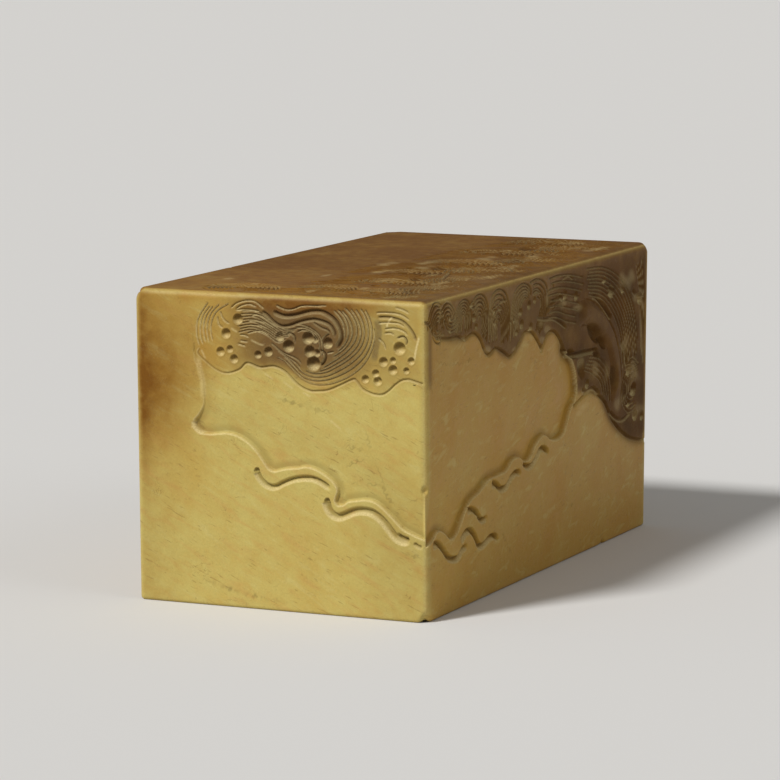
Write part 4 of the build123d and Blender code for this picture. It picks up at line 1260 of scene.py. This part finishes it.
TOP_FACE = CloudFace(
    line_highlight=0.26,
    channels=(
        (((14, 4.4), (17, 6.2), (20.5, 7.0), (24, 5.6), (25.9, 3.8)), 0.6, 0.35),
        (((20.2, 23.4), (23.4, 27.6), (26.4, 29), (28.8, 21.4)), 0.6, 0.3),
        (((16, 13), (19, 16), (23, 17), (27, 15)), 0.6, 0.3), (((22, 36), (26, 39), (30, 38), (33, 33)), 0.7, 0.3),
        (((19, 50), (23, 54), (28, 54.5), (32, 51)), 0.7, 0.3), (((20, 60), (24, 64), (30, 65)), 0.7, 0.3),
    ),
    hollows=((30, 10, 1.4, 2.4, 0.4), (26, 21, 1.2, 2.2, 0.35), (24, 33, 1.4, 3.0, 0.4), (29, 45, 1.6, 3.4, 0.4),
             (25, 58, 1.5, 3.2, 0.4)),
    combs=(
        Comb(((14, 1.6), (20, 2.6), (27, 1.9), (34.8, 1.6)), ((16, 5.6), (21, 8.6), (27, 7.6), (35, 5)), 7),
        Comb(((17, 10.6), (24, 15), (30, 13.6), (35.2, 8.6)), ((17, 20), (24, 25), (30, 23), (35.2, 18)), 12),
        Comb(((15, 23), (22, 28), (29, 29.4), (35.2, 23)), ((15, 33), (22, 39), (29, 41), (35, 34)), 12),
        Comb(((17, 40), (24, 45), (30, 45), (35.2, 39)), ((17, 52), (24, 57), (30, 57), (35, 52)), 12),
        Comb(((18, 56), (24, 60), (30, 61), (35.2, 56)), ((20, 67), (25, 69), (30, 69), (35, 66)), 10),
    ),
    fans=(
        Fan((11.2, 5.0), 0.8, 4.3, -60, 260, 0.5), Fan((20.4, 8.4), 0.9, 3.6, -60, 200, 0.5),
        Fan((27.5, 6.5), 0.9, 4.2, -100, 160, 0.5), Fan((32.8, 12), 1.0, 4.6, 90, 290, 0.5),
        Fan((24.5, 16), 1.0, 4.4, -50, 200, 0.55), Fan((31.5, 21), 1.0, 4.4, 60, 300, 0.55),
        Fan((22.5, 26), 1.0, 4.2, -80, 160, 0.6), Fan((30.0, 31), 1.2, 5.0, 30, 280, 0.6),
        Fan((24.0, 38), 1.2, 4.6, -70, 180, 0.6), Fan((31.5, 43), 1.2, 5.0, 60, 300, 0.6),
        Fan((23.5, 50), 1.2, 4.6, -60, 190, 0.6), Fan((30.5, 57), 1.2, 5.4, 40, 290, 0.6),
        Fan((24.5, 64), 1.2, 4.6, -60, 200, 0.6), Fan((33.0, 2.0), 1.0, 3.0, 90, 180, 0.5),
    ),
    pits=(
        (20.2, 3.5, 0.55), (24.5, 12.4, 0.55), (11.0, 4.8, 0.4), (19.6, 9.4, 0.5), (27.2, 6.2, 0.55),
        (28.6, 8.0, 0.5),
        (31.2, 12.6, 0.6), (24.0, 17.0, 0.6), (30.6, 20.2, 0.6), (22.2, 25.4, 0.7), (29.2, 30.4, 0.7),
        (23.4, 37.0, 0.7),
        (30.8, 42.0, 0.8), (23.0, 49.2, 0.7), (29.6, 56.0, 0.8), (24.0, 63.2, 0.7), (20.8, 31.0, 0.6),
    ),
    sheen_patches=(
        (16, 34, 1.6, 4.0), (22, 32, 1.6, 3.4), (27, 31, 1.4, 3.6), (20, 38, 1.6, 4.0), (25, 44, 1.8, 4.6),
        (31, 37, 1.6, 4.0), (19, 26, 1.2, 3.4), (23, 18, 1.2, 3.0), (6, 12, 1.0, 2.4), (30.5, 3.4, 1.0, 2.6),
        (24.4, 9.5, 0.8, 2.4), (19.8, 5.2, 0.8, 2.4), (33, 26, 1.4, 4.2), (29, 49, 1.6, 4.4), (33, 60, 1.4, 5.0),
        (26, 25, 0.9, 3.0), (14.8, 20, 0.6, 3.0), (30, 18, 1.0, 3.2), (27.5, 66, 2.0, 3.0),
    ),
    cracks=(((4, 20), (6, 34), (5, 48)), ((10, 30), (12, 44), (11, 60))),
)


@dataclass
class CarvedSkin:
    """All the worked faces, cut apart into the pieces that the solids name."""

    stone: Stone = field(default_factory=Stone)

    def share_of(self, seen: np.ndarray, names: list[str], *kinds: str) -> np.ndarray:
        """Finds where solids of some kinds lie.

        Args:
            seen: the number of the solid behind each cell.
            names: the solids' names.
            kinds: the words that the wanted names hold.

        Returns:
            The share of such cells round each grid point.
        """
        wanted = [number for number, name in enumerate(names) if any(kind in name for kind in kinds)]
        return at_points(np.isin(seen, wanted))

    def tinted(self, skin: Skin, place: np.ndarray, seen: np.ndarray, names: list[str]) -> None:
        """Lays the stone's broad colouring on a face, with painted shade and a pale edge strip that is partly painted
        highlight.

        Args:
            skin: the face's grid.
            place: its points, in mm.
            seen: the number of the solid behind each cell.
            names: the solids' names.
        """
        x, y, z = np.moveaxis(place, -1, 0)
        cloud = skin.blurred(self.share_of(seen, names, "cloud", "rock", "arched"), 0.35)
        high, left, far = eased(z, 17.0, 36.0), eased(-x, 3.0, 18.0), eased(y, -34.0, 30.0)
        rock = skin.blurred(self.share_of(seen, names, "rock"), 0.8)
        wave = 0.5 + 0.5 * np.sin(y * 0.62 + z * 0.9) * np.sin(z * 0.55 - y * 0.41 + x * 0.5)
        main_cloud = stain(x, z, (3.2, 31.6), (8.2, 4.6), 4)
        shoulder = stain(x, z, (-15, 30), (6.5, 7.0))
        band = np.exp(-(((x - 4.5) / 9.0) ** 4)) * eased(z, 33.2, 35.2)
        low_left = stain(x, z, (-16.5, 23.5), (5.5, 5.5))
        # On the front, the rind grows towards the left edge; part of that darkening is painted shade, where the light
        # falls off to the left.
        rind = {
            Side.FRONT: 0.38 * shoulder + 0.45 * low_left + 0.2 * left * eased(-x, 8, 17)
            + 0.08 * cloud * (1 - eased(x, 6, 12))
            + 0.14 * eased(x, 8, 16) * (1 - eased(z, 10, 20)) + 0.75 * cloud * main_cloud
            + 0.5 * band + 0.5 * eased(-x, 15.0, 17.8) * eased(z, 6, 26),
            Side.RIGHT: cloud * (0.75 + 0.25 * far) + 0.15 * high * (1 - cloud),
            Side.BACK: cloud * 0.75 + 0.3 * high,
            Side.LEFT: cloud * 0.7 + 0.35 * high + 0.15,
            Side.TOP: 0.78 + 0.25 * eased(y, -32, 5) + 0.1 * eased(x, -8, 4),
        }[skin.side]
        warm = {
            Side.FRONT: 0.05 + 0.75 * left * eased(z, 4, 26) + 0.3 * cloud + 0.4 * band,
            Side.RIGHT: 0.78 + 0.12 * eased(z, 6, 30) + 0.1 * far,
            Side.TOP: 1.0 + 0 * x,
        }.get(skin.side, 0.55 + 0.25 * high)
        ash = {
            Side.FRONT: 0.85 * cloud * main_cloud * (1 - 0.75 * band) + 0.25 * cloud * eased(x, 11, 14),
            Side.RIGHT: 0.35 * cloud * (1 - rock) + 0.2 * rock * wave**3,
            Side.TOP: 0.45 * eased(x, 6, 14) * (1 - eased(y, -18, 5)),
        }.get(skin.side, 0.25 * cloud)
        shade = {
            Side.RIGHT: rock * (0.6 + 0.4 * wave) + 0.45 * cloud * (1 - rock) * eased(34.6 - z, 0, 2.5),
            Side.TOP: 0.05 + 0.3 * eased(y, -30, 0) + 0.35 * wave * eased(x, -4, 4),
            Side.LEFT: 0.3 * rock * wave,
            Side.BACK: 0.3 * rock * wave,
        }.get(skin.side, 0.1 * stain(x, z, (14, 8), (5, 9)))
        across, along, upward = 18 - np.abs(x), 35.4 - np.abs(y), 36 - z
        bare = {
            Side.FRONT: 1 - eased(across, 0.3, 1.1) * eased(upward, 0.1, 0.7),
            Side.RIGHT: 1 - eased(along, 0.3, 1.6) * eased(upward, 0.1, 1.0),
            Side.TOP: 1 - eased(across, 0.05, 0.5) * eased(along, 0.2, 0.8),
            Side.LEFT: 1 - eased(along, 0.1, 0.8) * eased(upward, 0.0, 0.5),
            Side.BACK: 1 - eased(across, 0.1, 0.8) * eased(upward, 0.0, 0.5),
        }[skin.side]
        rim = np.minimum(
            along if skin.side in (Side.RIGHT, Side.LEFT) else across, along if skin.side is Side.TOP else upward
        )
        if skin.side is Side.FRONT:
            band = band * eased(36.0 - z, 0.25, 0.7)
            skin.tint("rind", WHOLE, 0.75 * band)
        skin.tint("rind", WHOLE, np.clip(rind * (1 - 0.7 * bare), 0, 1))
        skin.tint("warm", WHOLE, np.clip(warm * (1 - 0.6 * bare), 0, 1))
        skin.tint("ash", WHOLE, np.clip(ash * (1 - bare), 0, 1))
        skin.tint("patina", WHOLE, np.clip(shade * (1 - bare), 0, 1))
        # A pale strip along the edges: partly wear, partly painted highlight on the rounded edges.
        edge_wear_and_highlight = {Side.FRONT: 0.3, Side.RIGHT: 0.2, Side.TOP: 0.12}.get(skin.side, 0.2)
        skin.tint("worn", WHOLE, edge_wear_and_highlight * (1 - eased(rim, 0.1, 0.7)))

    def sheet(self, skin: Skin, seen: np.ndarray, names: list[str]) -> list[bpy.types.Object]:
        """Lays one face as a grid, shapes it and cuts it apart where one solid ends and the next begins.

        Args:
            skin: the carved face.
            seen: the number of the solid behind each cell.
            names: the solids' names.

        Returns:
            One open sheet for each solid that shows on the face.
        """
        cols, rows = len(skin.across), len(skin.upward)
        bpy.ops.object.select_all(action="DESELECT")
        bpy.ops.mesh.primitive_grid_add(x_subdivisions=cols - 1, y_subdivisions=rows - 1, size=1)
        sheet = bpy.context.object
        sheet.name = f"sheet_{skin.side.value}"
        mesh = sheet.data
        flat = read(mesh.vertices, "co", 3)
        col = np.rint((flat[:, 0] + 0.5) * (cols - 1)).astype(int)
        row = np.rint((flat[:, 1] + 0.5) * (rows - 1)).astype(int)
        skin.settle()
        sharp = skin.sharp(skin.u, skin.v)
        placed, facing = self.stone.shaped(sharp, skin.height)
        self.tinted(skin, placed, seen, names)
        du = np.gradient(placed, axis=1)
        dv = np.gradient(placed, axis=0)
        normal = np.cross(du, dv)
        normal /= np.maximum(np.linalg.norm(normal, axis=-1, keepdims=True), 1e-12)
        for part in (np.s_[0, :], np.s_[-1, :], np.s_[:, 0], np.s_[:, -1]):
            normal[part] = facing[part]
        mesh.vertices.foreach_set("co", (placed[row, col] * MM).astype(np.float32).ravel())
        shape = mesh.attributes.new("facing", "FLOAT_VECTOR", "POINT")
        shape.data.foreach_set("vector", normal[row, col].astype(np.float32).ravel())
        for name, values in skin.paint.items():
            layer = mesh.attributes.new(name, "FLOAT", "POINT")
            layer.data.foreach_set("value", values[row, col].astype(np.float32))
        corners = read(mesh.loops, "vertex_index", 1, np.int32).reshape(-1, 4)
        cell = seen[row[corners].min(1), col[corners].min(1)]
        present = sorted(set(cell.tolist()))
        for number in present:
            mesh.materials.append(bpy.data.materials.new(f"part.{names[number]}"))
        slots = np.searchsorted(present, cell).astype(np.int32)
        mesh.polygons.foreach_set("material_index", slots)
        bpy.ops.object.mode_set(mode="EDIT")
        bpy.ops.mesh.select_all(action="SELECT")
        bpy.ops.mesh.separate(type="MATERIAL")
        bpy.ops.object.mode_set(mode="OBJECT")
        return list(bpy.context.selected_objects)

    def walls(self, piece: bpy.types.Object, axis: int, level: float) -> None:
        """Draws a sheet's edges straight in to a flat and closes it there.

        Args:
            piece: the sheet; not used, the sheet open in edit mode is worked.
            axis: the axis along which the edges go.
            level: where the flat lies, in metres.
        """
        stretch = [1.0, 1.0, 1.0]
        stretch[axis] = 0.0
        centre = [0.0, 0.0, 0.0]
        centre[axis] = level
        choose_open_edges()
        bpy.ops.mesh.extrude_edges_move()
        bpy.ops.transform.resize(value=stretch, center_override=centre)
        bpy.ops.mesh.select_all(action="SELECT")
        bpy.ops.mesh.remove_doubles(threshold=WELD)
        bpy.ops.mesh.dissolve_degenerate(threshold=SLIVER)
        choose_open_edges()
        bpy.ops.mesh.fill(use_beauty=False)

    def close(self, piece: bpy.types.Object, name: str) -> None:
        """Makes a closed solid of the open sheets of one piece.

        Args:
            piece: the joined sheets.
            name: the solid that it stands for.
        """
        stone = self.stone
        half_width, half_length = stone.width / 2, stone.length / 2
        bpy.ops.object.mode_set(mode="EDIT")
        bpy.ops.mesh.select_mode(type="EDGE")
        bpy.ops.mesh.select_all(action="SELECT")
        bpy.ops.mesh.remove_doubles(threshold=WELD)
        if name == "seal_face":
            for top in (True, False):
                choose_open_edges()
                bpy.ops.object.mode_set(mode="OBJECT")
                mesh = piece.data
                height = read(mesh.vertices, "co", 3)[:, 2]
                ends = read(mesh.edges, "vertices", 2, np.int32)
                chosen = read(mesh.edges, "select", 1, bool).ravel()
                upper = height[ends].min(1) > stone.seal_depth / 2 * MM
                mesh.edges.foreach_set("select", chosen & (upper == top))
                mesh.vertices.foreach_set("select", np.zeros(len(mesh.vertices), bool))
                bpy.ops.object.mode_set(mode="EDIT")
                bpy.ops.mesh.fill(use_beauty=False)
        else:
            axis, level = {
                "front": (1, -(half_length - stone.relief_depth)),
                "back": (1, half_length - stone.relief_depth),
                "right": (0, half_width - stone.relief_depth),
                "left": (0, -(half_width - stone.relief_depth)),
                "top": (2, stone.height - stone.rind_depth),
            }[name.split("_")[0]]
            self.walls(piece, axis, level * MM)
        bpy.ops.object.mode_set(mode="OBJECT")

    def smooth(self, piece: bpy.types.Object) -> None:
        """Leans a piece and shades it by the carved surface, so that no joint with its neighbours shows.

        Args:
            piece: the closed piece.
        """
        mesh = piece.data
        points = self.stone.leaned(read(mesh.vertices, "co", 3).astype(float))
        mesh.vertices.foreach_set("co", points.astype(np.float32).ravel())
        mesh.update()
        mesh.polygons.foreach_set("use_smooth", np.ones(len(mesh.polygons), bool))
        mesh.normals_split_custom_set_from_vertices(read(mesh.attributes["facing"].data, "vector", 3))
        mesh.attributes.remove(mesh.attributes["facing"])

    def make(self, workers: dict[Side, FrontFace | CloudFace], finish: bpy.types.Material) -> list[bpy.types.Object]:
        """Carves the faces and makes a closed piece for each solid that they show.

        Args:
            workers: who carves each face.
            finish: the stone's material.

        Returns:
            The pieces.
        """
        solids = Frame()
        sheets: dict[str, list[bpy.types.Object]] = {}
        for side in Side:
            skin = Skin(side, self.stone)
            seen, depth = solids.look(skin)
            workers[side].work(skin, depth)
            for part in self.sheet(skin, seen, solids.names):
                name = part.data.materials[0].name.split(".")[1]
                sheets.setdefault(name, []).append(part)
            log.info("%s face carved", side.value)
        pieces = []
        for name, parts in sorted(sheets.items()):
            bpy.ops.object.select_all(action="DESELECT")
            for part in parts:
                part.select_set(True)
            piece = parts[0]
            bpy.context.view_layer.objects.active = piece
            if len(parts) > 1:
                bpy.ops.object.join()
            self.close(piece, name)
            piece.name = piece.data.name = f"carved_{name}"
            self.smooth(piece)
            piece.data.materials.clear()
            piece.data.materials.append(finish)
            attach(piece, "root")
            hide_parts(name)
            pieces.append(piece)
            log.info("%s: %d faces", piece.name, len(piece.data.polygons))
        return pieces


@dataclass
class Studio:
    """The floor, the lamps and the camera."""

    azimuth: float = 23.84
    elevation: float = 7.99
    place: tuple[float, float, float] = (0.1872, -0.4281, 0.0863)
    lens: float = 181.3
    floor_size: float = 6.0
    floor_colour: Colour = (0.72, 0.71, 0.69, 1)
    room_colour: Colour = (1, 0.98, 0.95, 1)
    room_light: float = 0.25
    key_light: float = 2.65
    side_light: float = 0.25

    def floor(self) -> None:
        """Lays a plain pale floor."""
        bpy.ops.object.select_all(action="DESELECT")
        bpy.ops.mesh.primitive_plane_add(size=self.floor_size, location=(0, 0, 0))
        floor = bpy.context.object
        floor.name = "floor"
        shop = Shader("pale_floor")
        paint = shop.node("ShaderNodeBsdfDiffuse", {}, {"Color": self.floor_colour}, 0)
        out = shop.tree.nodes.new("ShaderNodeOutputMaterial")
        shop.tree.links.new(paint.socket, out.inputs["Surface"])
        floor.data.materials.append(shop.material)

    def lamp(self, name: str, place: tuple[float, float, float], softness: float, power: float) -> None:
        """Hangs a soft lamp so far off that its light is even.

        Args:
            name: the lamp's name.
            place: from where it shines.
            softness: how wide it looks, in degrees.
            power: its strength, in watts a square metre.
        """
        data = bpy.data.lights.new(name, "SUN")
        data.angle = math.radians(softness)
        data.energy = power
        lamp = bpy.data.objects.new(name, data)
        lamp.location = place
        lamp.rotation_mode = "QUATERNION"
        lamp.rotation_quaternion = Vector(place).to_track_quat("Z", "Y")
        bpy.context.scene.collection.objects.link(lamp)

    def light(self) -> None:
        """Hangs the lamps and sets the room's even light."""
        self.lamp("key_lamp", (-0.30, -0.62, 0.72), 11.0, self.key_light)
        self.lamp("side_lamp", (0.8, -0.1, 0.6), 30.0, self.side_light)
        world = bpy.data.worlds.new("room")
        bpy.context.scene.world = world
        world.use_nodes = True
        tree = world.node_tree
        tree.nodes.clear()
        room = tree.nodes.new("ShaderNodeBackground")
        room.inputs["Color"].default_value = self.room_colour
        room.inputs["Strength"].default_value = self.room_light
        out = tree.nodes.new("ShaderNodeOutputWorld")
        tree.links.new(room.outputs[0], out.inputs["Surface"])

    def camera(self) -> None:
        """Sets the camera where the photograph was taken from."""
        data = bpy.data.cameras.new("camera")
        data.lens = self.lens
        data.sensor_width = 36.0
        data.clip_start, data.clip_end = 0.02, 20.0
        camera = bpy.data.objects.new("camera", data)
        azimuth, elevation = math.radians(self.azimuth), math.radians(self.elevation)
        back = Vector((math.sin(azimuth) * math.cos(elevation), -math.cos(azimuth) * math.cos(elevation),
                       math.sin(elevation)))
        camera.location = self.place
        camera.rotation_mode = "QUATERNION"
        camera.rotation_quaternion = (-back).to_track_quat("-Z", "Y")
        bpy.context.scene.collection.objects.link(camera)
        bpy.context.scene.camera = camera
        bpy.context.scene.view_settings.view_transform = "Standard"

    def set_up(self) -> None:
        """Builds the studio."""
        self.camera()
        self.floor()
        self.light()


def main() -> None:
    """Builds the stone piece by piece and reports each."""
    logging.basicConfig(level=logging.INFO, format="%(message)s")
    Studio().set_up()
    finish = WaxedStone().make()
    workers = {
        Side.FRONT: FrontFace(),
        Side.RIGHT: RIGHT_FACE,
        Side.BACK: BACK_FACE,
        Side.LEFT: LEFT_FACE,
        Side.TOP: TOP_FACE,
    }
    pieces = CarvedSkin().make(workers, finish)
    log.info("%d pieces round the stone core", len(pieces))
    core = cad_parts["stone_core"]
    core.data.materials.clear()
    core.data.materials.append(finish)


if __name__ == "__main__":
    main()
